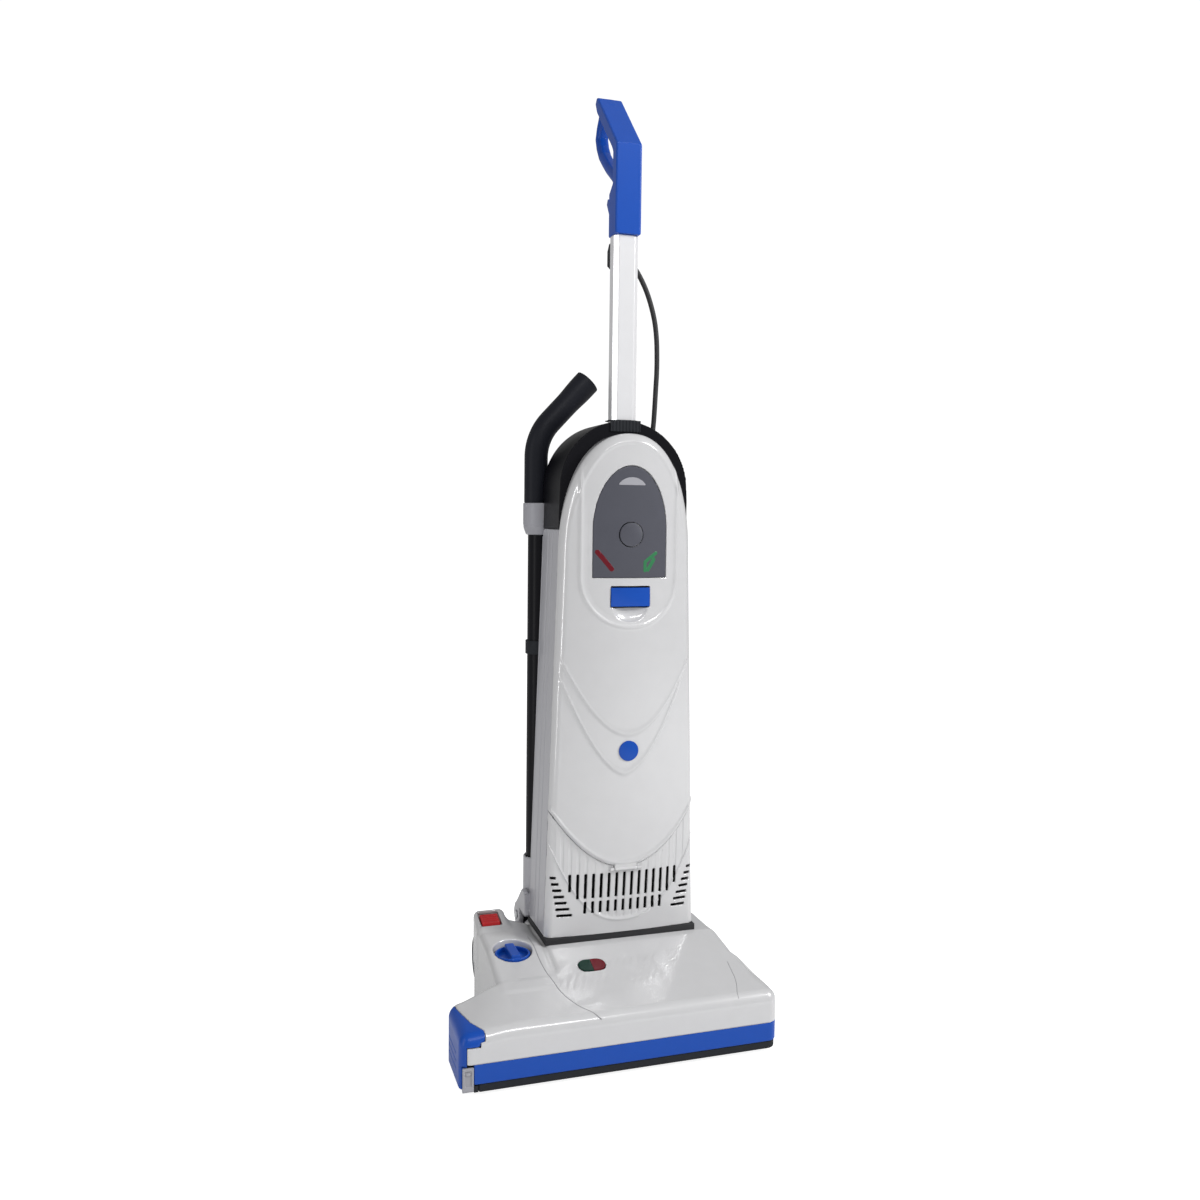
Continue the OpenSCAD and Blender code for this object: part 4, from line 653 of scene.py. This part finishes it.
def doorField(x, y, z):
    # face and outline rounded into one form, hollowed, with bosses added and seats and windows cut
    face = faceField(x, y, z)
    outline = outlineField(x, z)
    # moulded steps of the door and the bead round the panel
    rel = (x - body["x"]) / 91.0
    lineA = (z - 384 - 108 * np.abs(rel) ** 1.9) * 0.7
    lineB = (z - 334 - 134 * np.abs((x - 34) / 86.0) ** 1.7) * 0.66
    inside = smoothStep(-2, -12, outline)
    face = face - inside * (0.9 * smoothStep(-2.4, 2.4, lineA) - 0.7 * smoothStep(2.4, -2.4, lineB))
    face = face - inside * (1.5 * ridge(lineA + 1.5, 2.2) + 1.5 * ridge(lineB + 1.2, 2.2))
    bead = rectField(x, z, -24.5, 102.5, 518, 900, 62)
    face = face - 1.4 * ridge(bead, 2.4) * smoothStep(775, 700, z)
    face = face + 0.8 * smoothStep(-1, -9, bead) * smoothStep(700, 640, z)
    # raised edges along the lower curve and round the top arch
    face = face - 1.8 * ridge((z - uLine(x)) * 0.8 - 4.0, 2.4)
    face = face - 1.0 * ridge(outline + 11, 2.4) * smoothStep(640, 700, z)
    solid = meet(face, outline, body["edge"])
    wall = 3.6 + 1.6 * smoothStep(5, 1, panelArea(x, z))  # thicker behind the sunk panel
    shell = meet(meet(solid, (uLine(x) - z) * 0.8, 1.8), -(solid + wall))
    shell = meet(shell, y - body["partY"])
    shell = join(shell, meet(solid, meet(np.hypot(x - 39, z - buttonZ) - 18, y + 31)))
    shell = join(shell, meet(solid, scoopField(x, y, z, 3.0)))
    # seat of the panel, button well, latch window, finger scoop
    shell = meet(shell, -meet(panelArea(x, z, 0.35), -(faceField(x, y, z) + 2.3)), 0.4)
    shell = meet(shell, -meet(np.hypot(x - 39, z - buttonZ) - 15.4, y + 34))
    shell = meet(shell, -(np.hypot(x - 39, z - buttonZ) - 5.05))
    shell = meet(shell, -rectField(x, z, 13, 65, 542.5, 569.5, 1.0), 0.6)
    shell = meet(shell, -meet(scoopField(x, y, z, 0), z - 544), 0.8)
    for side in (-1, 1):  # the latch's two posts
        at = 39 + side * 29
        shell = join(shell, meet(solid, blockField(x, y, z, (at - 3.2, -50, 559), (at + 3.2, -35, 570))))
    # hinge knuckle
    knuckle = np.hypot(y - hingeAt[0], z - hingeAt[1])
    shell = join(shell, meet(span(x, 24, 54), knuckle - 2.2))
    shell = join(shell, blockField(x, y, z, (24, -41.6, 206.5), (54, -39.2, 213)))
    return meet(shell, -(knuckle - 1.12))


def lowerField(x, y, z):
    # the face a little behind the door's, moulded, grooved and hollowed, with slots and louvres cut
    face = faceField(x, y, z) + 1.6
    # second moulded U, and the fine grooves that carry the slots up to the door
    inner = (z - 137 - 103 * np.abs((x - 39) / 98) ** 2.3) * 0.8
    i = np.clip(np.round((x - 39) / 10.2), -9, 9)
    groove = np.abs(x - 39 - 10.2 * i)
    within = smoothStep(1.5, 4.5, inner) * smoothStep(-99, -93, -np.abs(x - 39))
    face = face - 1.2 * ridge(inner, 1.7) + 0.4 * smoothStep(0, 3, inner)
    face = face + 0.55 * within * smoothStep(2.2, 1.3, groove)
    solid = meet(face, outlineField(x, z), body["edge"])
    shell = meet(solid, -(solid + 3.0))
    shell = join(shell, meet(solid, z - 121.8))
    shell = meet(meet(shell, y - body["partY"]), body["foot"] - z, 0.8)
    shell = meet(shell, (z - uLine(x) + 0.25) * 0.8)
    shell = meet(shell, -meet(meet(np.abs(x - 39) - 15.3, y + 33.2), 203.7 - z))
    i = np.clip(i, -7, 7)
    across = np.abs(x - 39 - 10.2 * i) - 1.9
    tall = np.where(np.abs(i) > 6, 11.5, 16.5)
    slots = meet(across, np.abs(z - 201 + tall) - tall, 1.2)
    slots = join(slots, meet(meet(across, span(z, 148, 164), 1.2), np.abs(x - 39) - 53.5))
    k = np.clip(np.round((197.2 - z) / 8.3), 0, 6)
    along = np.abs(np.abs(x - 39) - 92.5 + 2.5 * k) - 3.5 - 1.1 * k
    louvre = meet(np.abs(z - 197.2 + 8.3 * k) - 1.8, along, 1.0)
    shell = meet(shell, -join(slots, louvre), 0.5)
    knuckle = np.hypot(y - hingeAt[0], z - hingeAt[1])
    for a in (18, 54.3):
        arm = blockField(x, y, z, (a, hingeAt[0], 204.3), (a + 5.7, hingeAt[0] + 4, 208))
        shell = join(shell, join(meet(span(x, a, a + 5.7), knuckle - 2.2), arm))
    return join(shell, meet(span(x, 22, 56), knuckle - 1.08))


def plateOn(shape):
    # a thin plate between 0.3 and 1.4 below the door's crowned face, inside an outline
    def field(x, y, z):
        face = faceField(x, y, z)
        return meet(meet(face + 0.3, shape(x, z), 0.4), -(face + 1.4))
    return field


def barField(x, z, ends, half):
    # distance to a row of lines, less half the bar's width
    return chainField(x, z, ends) - half


def buildCovers():
    # the front of the body: door, lower front, grey panel and what lies on it
    door = fieldMesh("bagDoor", doorField, (-64, -49, 203), (142, -16, 761), (1.8, 1.1, 1.9))
    dress(door, "door", "pearl_shell", ["bag_door"])
    lower = fieldMesh("lowerFront", lowerField, (-64, -46, 118), (142, -16, 292), (1.15, 1.1, 1.3))
    dress(lower, "upright", "pearl_shell", ["lower_front"])

    def panelField(x, y, z):
        # a plate along the crowned face, less the button's hole
        face = faceField(x, y, z) + 0.5
        plate = meet(meet(face, panelArea(x, z), 0.8), -(face + 1.8))
        return meet(plate, -(np.hypot(x - 39, z - buttonZ) - 15.9), 0.5)

    panel = fieldMesh("doorPanel", panelField, (-11, -47, 578), (89, -33, 721), (1.3, 0.7, 1.3))
    dress(panel, "door", "panel_grey", ["door_panel"])
    window = plateOn(lambda x, z: meet(np.hypot(x - 39.5, z - 683) - 22.5, 695.5 - z, 2.0))
    window = fieldMesh("panelWindow", window, (15, -47, 693), (64, -38, 708), (0.8, 0.5, 0.8))
    dress(window, "door", "bracket_grey")
    stop = plateOn(lambda x, z: barField(x, z, [(-4, 612), (5, 602), (14, 591)], 3.2))
    dress(fieldMesh("markRed", stop, (-9, -47, 586), (19, -38, 617), (0.8, 0.5, 0.8)), "door", "red_lens")
    go = plateOn(lambda x, z: join(barField(x, z, [(58, 589), (58, 600), (73, 611)], 2.3),
                                   barField(x, z, [(62, 590), (70, 603)], 2.6)))
    go = fieldMesh("markGreen", go, (54, -47, 585), (77, -36, 615), (0.8, 0.5, 0.8))
    dress(go, "door", "markGreen")
    print("front covers built")


def buildRear():
    # the two shells of the body's rear
    def housingField(x, y, z):
        # grooved sides and a rounded rear, hollowed; floor, shelf, tube seat and ears added, then bores cut
        side = np.abs(x - body["x"]) - halfWidth(z)
        for at, deep in ((11, 0.8), (29, 0.8), (55, 0.7)):
            side = side + deep * ridge(y - at, 1.5)
        solid = meet(side, y - body["rearY"], 22)
        shell = meet(solid, -(solid + 3))
        seat = np.hypot(x + 46, y - 80)
        shell = join(shell, meet(solid, seat - 22))
        shell = join(shell, meet(meet(solid, seat - 26), 625 - z))
        shell = join(shell, meet(solid, z - 121.8))
        shell = join(shell, meet(solid, span(z, 262, 265)))
        shell = meet(shell, -16.7 - y)
        shell = meet(shell, -(seat - 18.7), 0.8)
        shell = meet(shell, -meet(seat - 22.8, 630.9 - z), 0.8)
        shell = meet(meet(shell, 118.8 - z), z - 639.7)
        shell = join(shell, meet(seat - 19.5, span(z, 140, 196), 2))
        shell = meet(shell, -meet(seat - 16.05, 150 - z))
        shell = meet(shell, -meet(np.hypot(x - 39, z - 610) - 17.3, 60 - y))
        shell = meet(shell, -meet(np.hypot(x - 39, y - 26) - 20, span(z, 260, 268)))
        ears = np.abs(np.abs(x - 39) - 105.9) - 3.1
        flank = polygonField(y, z, [(52, 119.8), (58, 152.8), (72, 152.8), (111, 118), (100, 91), (84, 107),
                                    (84, 119.8)])
        flank = join(np.hypot(y - body["pivotY"], z - body["pivotZ"]) - 16, flank, 4)
        shell = join(shell, meet(ears, flank, 1.0))
        lug = meet(meet(np.abs(np.abs(x - 39) - 105) - 4, np.abs(y - 62) - 8), np.abs(z - 134.8) - 15)
        shell = join(shell, lug)
        return meet(shell, -(np.hypot(y - body["pivotY"], z - body["pivotZ"]) - 5.06))

    housing = fieldMesh("rearHousing", housingField, (-71, -17, 90), (149, 117, 640), (1.8, 1.8, 3.0))
    dress(housing, "upright", "grey_shell", ["rear_housing"])

    def domeField(x, y, z):
        # sides under a half circle, hollowed, with floor, front edge and blocks added and every seat cut
        u = np.abs(x - body["x"])
        shoulder, half = body["shoulder"], body["shoulderHalf"]
        arch = np.where(z > shoulder, np.hypot(u, z - shoulder) - half, u - halfWidth(z))
        solid = meet(arch, y - body["rearY"], 16)
        shell = meet(solid, -(solid + 3))
        shell = join(shell, meet(solid, z - 643))
        shell = join(shell, meet(solid, y + 13.7))
        backing = blockField(x, y, z, (-60, 53.5, 636), (-19.5, 90, 735), 1)
        shell = join(shell, meet(solid, backing))
        shell = join(shell, blockField(x, y, z, (19.5, -16.2, 686), (58.5, 13, 773)))
        shell = join(shell, meet(np.hypot(x - 90, y - 20) - 7, span(z, 744, 753)))
        shell = meet(meet(shell, -16.7 - y), 640 - z, 0.5)
        shell = meet(shell, -meet(np.hypot(x + 46, y - 80) - 22.8, z - 675), 0.6)
        shell = meet(shell, -(np.hypot(x + 52, y - 80) - 16.3), 0.6)
        pole = rectField(x, y, 22.5, 55.5, -15, 10, 1)
        shell = meet(shell, -meet(pole, 690 - z))
        return meet(shell, -meet(np.hypot(x - 90, y - 20) - 4.4, 740 - z))

    dome = fieldMesh("rearDome", domeField, (-48, -17, 640), (126, 79, 778), 1.6)
    dress(dome, "upright", "black_shell", ["rear_dome"])
    print("rear shells built")


# the handle from the side (y, z): the middle line of its grip, and the outline of its leg
gripLine = [(60, 1184), (66, 1190), (80, 1182), (90, 1169), (95, 1157), (90, 1144), (80, 1130), (65, 1117),
            (50, 1105), (28, 1090), (8, 1075), (-6, 1064)]
legOutline = [(-19, 1008), (-19, 1118), (62, 1198), (67, 1200), (73, 1193), (66, 1180), (2, 1117),
              (-3, 1110), (-3, 1072), (11, 1062), (11, 1008)]


def buildHandle():
    # handle, pole and collar
    def handleField(x, y, z):
        # leg and grip joined, and a tongue into the pole; switch well, switch pin and hook hole cut
        u = np.abs(x - body["x"])
        leg = meet(polygonField(y, z, legOutline), u - 17, 2.5)
        bar = np.hypot(chainField(y, z, gripLine), np.maximum(u - 2.0, 0) * 1.08) - 7
        solid = join(leg, bar, 3)
        v = np.abs(y + 2.5)
        tongue = meet(np.maximum(u - 14.6, v - 10.6), (u + v - 19.7) * 0.707)
        solid = join(solid, meet(tongue, span(z, 963, 1016)))
        solid = meet(solid, -blockField(x, y, z, (31, -11, 1086), (47, 2, 1106), 0.6), 0.5)
        solid = meet(solid, -meet(np.hypot(y + 6, z - 1096) - 1.55, u - 10))
        return meet(solid, -meet(np.hypot(x - 39, z - 1036) - 3, -y))

    grip = fieldMesh("loopHandle", handleField, (21, -20, 963), (57, 104, 1201), 1.2)
    dress(grip, "upright", "blue_plastic", ["handle"])

    # pole: an eight-cornered tube, outside outline carried up and inside outline back down
    levels = [(0, 6, 690.3), (0, 6, 1007.7), (-1.8, 5.5, 1007.7), (-1.8, 5.5, 690.3)]
    pole = softenEdges(poleTube("metalPole", levels), 1.2, 30, 3)
    dress(pole, "upright", "pole_metal", ["pole"])

    # collar: a ring on top of the dome and a ribbed plate down its front
    levels = [(3.6, 8, 777.1), (3.6, 8, 778), (0.1, 6, 778), (0.1, 6, 777.1)]
    dress(poleTube("collarRing", levels), "upright", "dark_plastic", ["pole_collar"])

    def plateField(x, y, z):
        # a rounded plate with a groove at every pitch from the middle
        u = np.abs(x - body["x"])
        plate = blockField(x, y, z, (18.9, -18.7, 763), (59.1, -16.95, 777.6), 0.7)
        at = np.clip(np.round(u / 4.4), 0, 4) * 4.4
        return plate + 0.9 * ridge(u - at, 0.8) * smoothStep(-17.4, -18, y)

    plate = fieldMesh("collarPlate", plateField, (18, -19, 762), (60, -16, 778), (0.5, 0.4, 0.7))
    dress(plate, "upright", "dark_plastic")
    print("pole and handle built")


def poleTube(name, levels):
    # a tube through rings of eight corners, the pole's outline grown and cut as each level says
    rings = []
    for grow, corner, z in levels:
        a, b = 16.5 + grow, 12.5 + grow
        half = np.array([(-a, -b + corner), (-a + corner, -b), (a - corner, -b), (a, -b + corner)])
        ring = np.concatenate([half, -half]) + np.array([39, -2.5])
        rings.append(np.column_stack([ring, np.full(8, z)]))
    tube = makeObject(name, np.concatenate(rings), gridFaces(len(levels), 8, True, True))
    tube.data.shade_flat()
    return tube


# the lead from the block under the handle to the gland in the dome, as in the CAD
leadLine = [(48.5, 24, 986), (53, 24, 985), (60, 23, 979), (68, 22, 968), (77, 21, 951), (84, 20, 932),
            (90, 20, 910), (93, 20, 888), (94, 20, 866), (94, 20, 844), (93, 20, 822), (92, 20, 800),
            (91, 20, 782), (90, 20, 770), (90, 20, 763)]


def buildLead():
    # a tube along the smoothed line
    path = smoothPath(leadLine, 80)
    lead = tubeAlong("handleLead", path, 3.25, 16)
    dress(lead, "upright", "rubber", ["lead_cable"])


def buildWand():
    # the wand's path is line, arc and line; the tube runs up its outside and back down its bore
    bendAngle, bendR, foot = math.radians(43), 70.0, np.array([-52.0, 80.0, 0.0])
    turn = np.linspace(0, bendAngle, 18)
    bend = np.column_stack([-52 + bendR - bendR * np.cos(turn), np.full(18, 80.0),
                            733 + bendR * np.sin(turn)])
    ahead = np.column_stack([np.sin(turn), 0 * turn, np.cos(turn)])
    along = np.linspace(0, 75, 24)[1:]
    low = foot + np.column_stack([np.zeros((6, 2)), [673.1, 674.0, 676.0, 690, 705, 720]])
    up = np.tile([0.0, 0.0, 1.0], (6, 1))
    out = np.concatenate([low, bend, bend[-1] + along[:, None] * ahead[-1]])
    way = np.concatenate([up, ahead, np.tile(ahead[-1], (23, 1))])
    swell = 15.8 + 1.5 * smoothStep(30, 64, along)
    radii = np.concatenate([[14.9, 15.35, 15.5, 15.5, 15.5, 15.5], np.linspace(15.5, 15.8, 18), swell])
    bore = np.concatenate([np.full(len(out) - 6, 12.8), np.full(6, 11.8)])
    path = np.concatenate([out, out[-1:], out[::-1]])
    wand = tubeAlong("wandGrip", path, np.concatenate([radii, [16.6], bore]), 48,
                     np.concatenate([way, way[-1:], way[::-1]]), True)
    wand.data.set_sharp_from_angle(angle=math.radians(50))
    dress(wand, "wand", "charcoal_grip", ["wand_grip"])
    outline = [(11, 654.2), (13.3, 654.2), (13.5, 654.6), (13.5, 673.6), (11, 673.6)]
    dress(lathe("wandSpigot", outline, (-52, 80, 0)), "wand", "charcoal_grip")

    def collarField(x, y, z):
        # a cylinder cut by a cone, grooved at its bead, less cup, hose hole and spigot hole
        r = np.hypot(x + 46, y - 80)
        form = meet(r - 22.5, span(z, 631, 673), 1.2)
        form = meet(form, (r - 18.5 - (z - 631) * 4 / 11) * 0.94, 1.5)
        form = form + 0.5 * ridge(z - 643.5, 0.9)
        form = meet(form, -meet(r - 16, z - 650))
        form = meet(form, -(np.hypot(x + 49.5, y - 80) - 10.8))
        return meet(form, -meet(np.hypot(x + 52, y - 80) - 13.55, 653.9 - z))

    collar = fieldMesh("hoseCollar", collarField, (-69, 57, 630), (-23, 103, 674), 1.1)
    dress(collar, "upright", "bracket_grey", ["hose_collar"])
    print("wand built")


# each small piece of the CAD that gets soft edges, with its edge radius
softPieces = {"door_latch": 0.6, "panel_button": 0.6, "cord_hook": 0.8, "power_switch": 0.4,
              "cable_inlet": 0.8, "tube_clip": 0.4, "front_badge": 0.5, "base_gasket": 0.5,
              "hub_left": 0.6, "hub_right": 0.6, "tyre_left": 0.9, "tyre_right": 0.9,
              "cable_clip": 0.3, "front_rollers": 0.6}


def mergedCopy(node, width):
    # a copy of the CAD piece with its loose triangles merged into whole faces, then its edges rounded
    source = frame["nodes"][node]
    mesh = source.data.copy()
    mesh.transform(source.matrix_world)
    form = bmesh.new()
    form.from_mesh(mesh)
    bmesh.ops.remove_doubles(form, verts=form.verts, dist=2e-6)
    bmesh.ops.dissolve_limit(form, angle_limit=math.radians(1), verts=form.verts, edges=form.edges)
    form.to_mesh(mesh)
    form.free()
    mesh.shade_smooth()
    words = node.split("_")
    obj = bpy.data.objects.new(words[0] + words[1].capitalize() + "Soft", mesh)
    bpy.context.scene.collection.objects.link(obj)
    return softenEdges(obj, width)


def buildSmallParts():
    # each soft copy keeps its node's body and finish
    bodyOf = {n: b for b, nodes in frame["record"]["behaviour"]["bodies"].items() for n in nodes}
    for node, width in softPieces.items():
        dress(mergedCopy(node, width), bodyOf[node], slotOf[node], [node])
    print("small parts softened", len(softPieces))


# place, aim, width and height in metres, and power in watts of each lamp
lamps = {
    "keyLight": {"at": (2.1, -1.5, 2.2), "aim": (0, 0, 0.35), "size": (0.8, 0.8), "power": 62},
    "topCard": {"at": (-0.1, -2.0, 2.2), "aim": (0, 0, 0.35), "size": (1.8, 0.16), "power": 19},
    "leftStrip": {"at": (-1.75, -0.65, 0.7), "aim": (0, 0, 0.45), "size": (0.1, 1.9), "power": 7},
}
# place in metres, and yaw, pitch and roll in degrees
camera = {"lens": 32.78, "sensor": 36, "at": (-0.41883, -1.33439, 0.65615), "turn": (-17.95, -4.37, 0.69)}
# each glow is first the light it gives and then what the camera sees
studio = {"floorColor": (0.8, 0.8, 0.8, 1), "floorSize": 60, "floorGlow": (0.12, 0.86),
          "airGlow": (0.34, 1.05)}


def makeLamp(name, lamp):
    # a flat lamp of a given width and height, turned to face its aim
    data = bpy.data.lights.new(name, "AREA")
    data.energy = lamp["power"]
    data.shape = "RECTANGLE"
    data.size, data.size_y = lamp["size"]
    light = bpy.data.objects.new(name, data)
    bpy.context.scene.collection.objects.link(light)
    light.location = lamp["at"]
    light.rotation_euler = (Vector(lamp["aim"]) - Vector(lamp["at"])).to_track_quat("-Z", "Y").to_euler()


def buildCamera():
    # looks level along +Y, then rolls, pitches and yaws
    data = bpy.data.cameras.new("photoCamera")
    data.lens = camera["lens"]
    data.sensor_width = camera["sensor"]
    obj = bpy.data.objects.new("photoCamera", data)
    bpy.context.scene.collection.objects.link(obj)
    obj.location = camera["at"]
    yaw, pitch, roll = [math.radians(v) for v in camera["turn"]]
    turn = Matrix.Rotation(yaw, 3, "Z") @ Matrix.Rotation(math.pi / 2 + pitch, 3, "X")
    obj.rotation_euler = (turn @ Matrix.Rotation(roll, 3, "Z")).to_euler()
    bpy.context.scene.camera = obj


def seenStrength(tree, lighting, seen):
    # a strength that is one value for the camera and another for the light it gives
    path = tree.nodes.new("ShaderNodeLightPath")
    strength = tree.nodes.new("ShaderNodeMapRange")
    strength.inputs["To Min"].default_value = lighting
    strength.inputs["To Max"].default_value = seen
    tree.links.new(path.outputs["Is Camera Ray"], strength.inputs["Value"])
    return strength.outputs["Result"]


def buildStudio():
    # white floor and air; both light the model less than they show to the camera
    scene = bpy.context.scene
    floorMat = bpy.data.materials.new("studioFloor")
    floorMat.use_nodes = True
    shader = floorMat.node_tree.nodes["Principled BSDF"]
    shader.inputs["Base Color"].default_value = studio["floorColor"]
    shader.inputs["Roughness"].default_value = 0.9
    shader.inputs["Specular IOR Level"].default_value = 0.0
    shader.inputs["Emission Color"].default_value = (1, 1, 1, 1)
    floorGlow = seenStrength(floorMat.node_tree, *studio["floorGlow"])
    floorMat.node_tree.links.new(floorGlow, shader.inputs["Emission Strength"])
    bpy.ops.mesh.primitive_plane_add(size=studio["floorSize"], location=(0, 0, -0.0005))
    floor = bpy.context.object
    floor.name = "studioGround"
    floor.data.materials.append(floorMat)
    world = bpy.data.worlds.new("studioAir")
    world.use_nodes = True
    tree = world.node_tree
    back = tree.nodes["Background"]
    back.inputs["Color"].default_value = (1, 1, 1, 1)
    tree.links.new(seenStrength(tree, *studio["airGlow"]), back.inputs["Strength"])
    scene.world = world
    for name, lamp in lamps.items():
        makeLamp(name, lamp)
    scene.view_settings.view_transform = "Standard"


buildCamera()
buildLead()
buildHead()
buildCovers()
buildRear()
buildHandle()
buildWand()
buildSmallParts()
buildStudio()
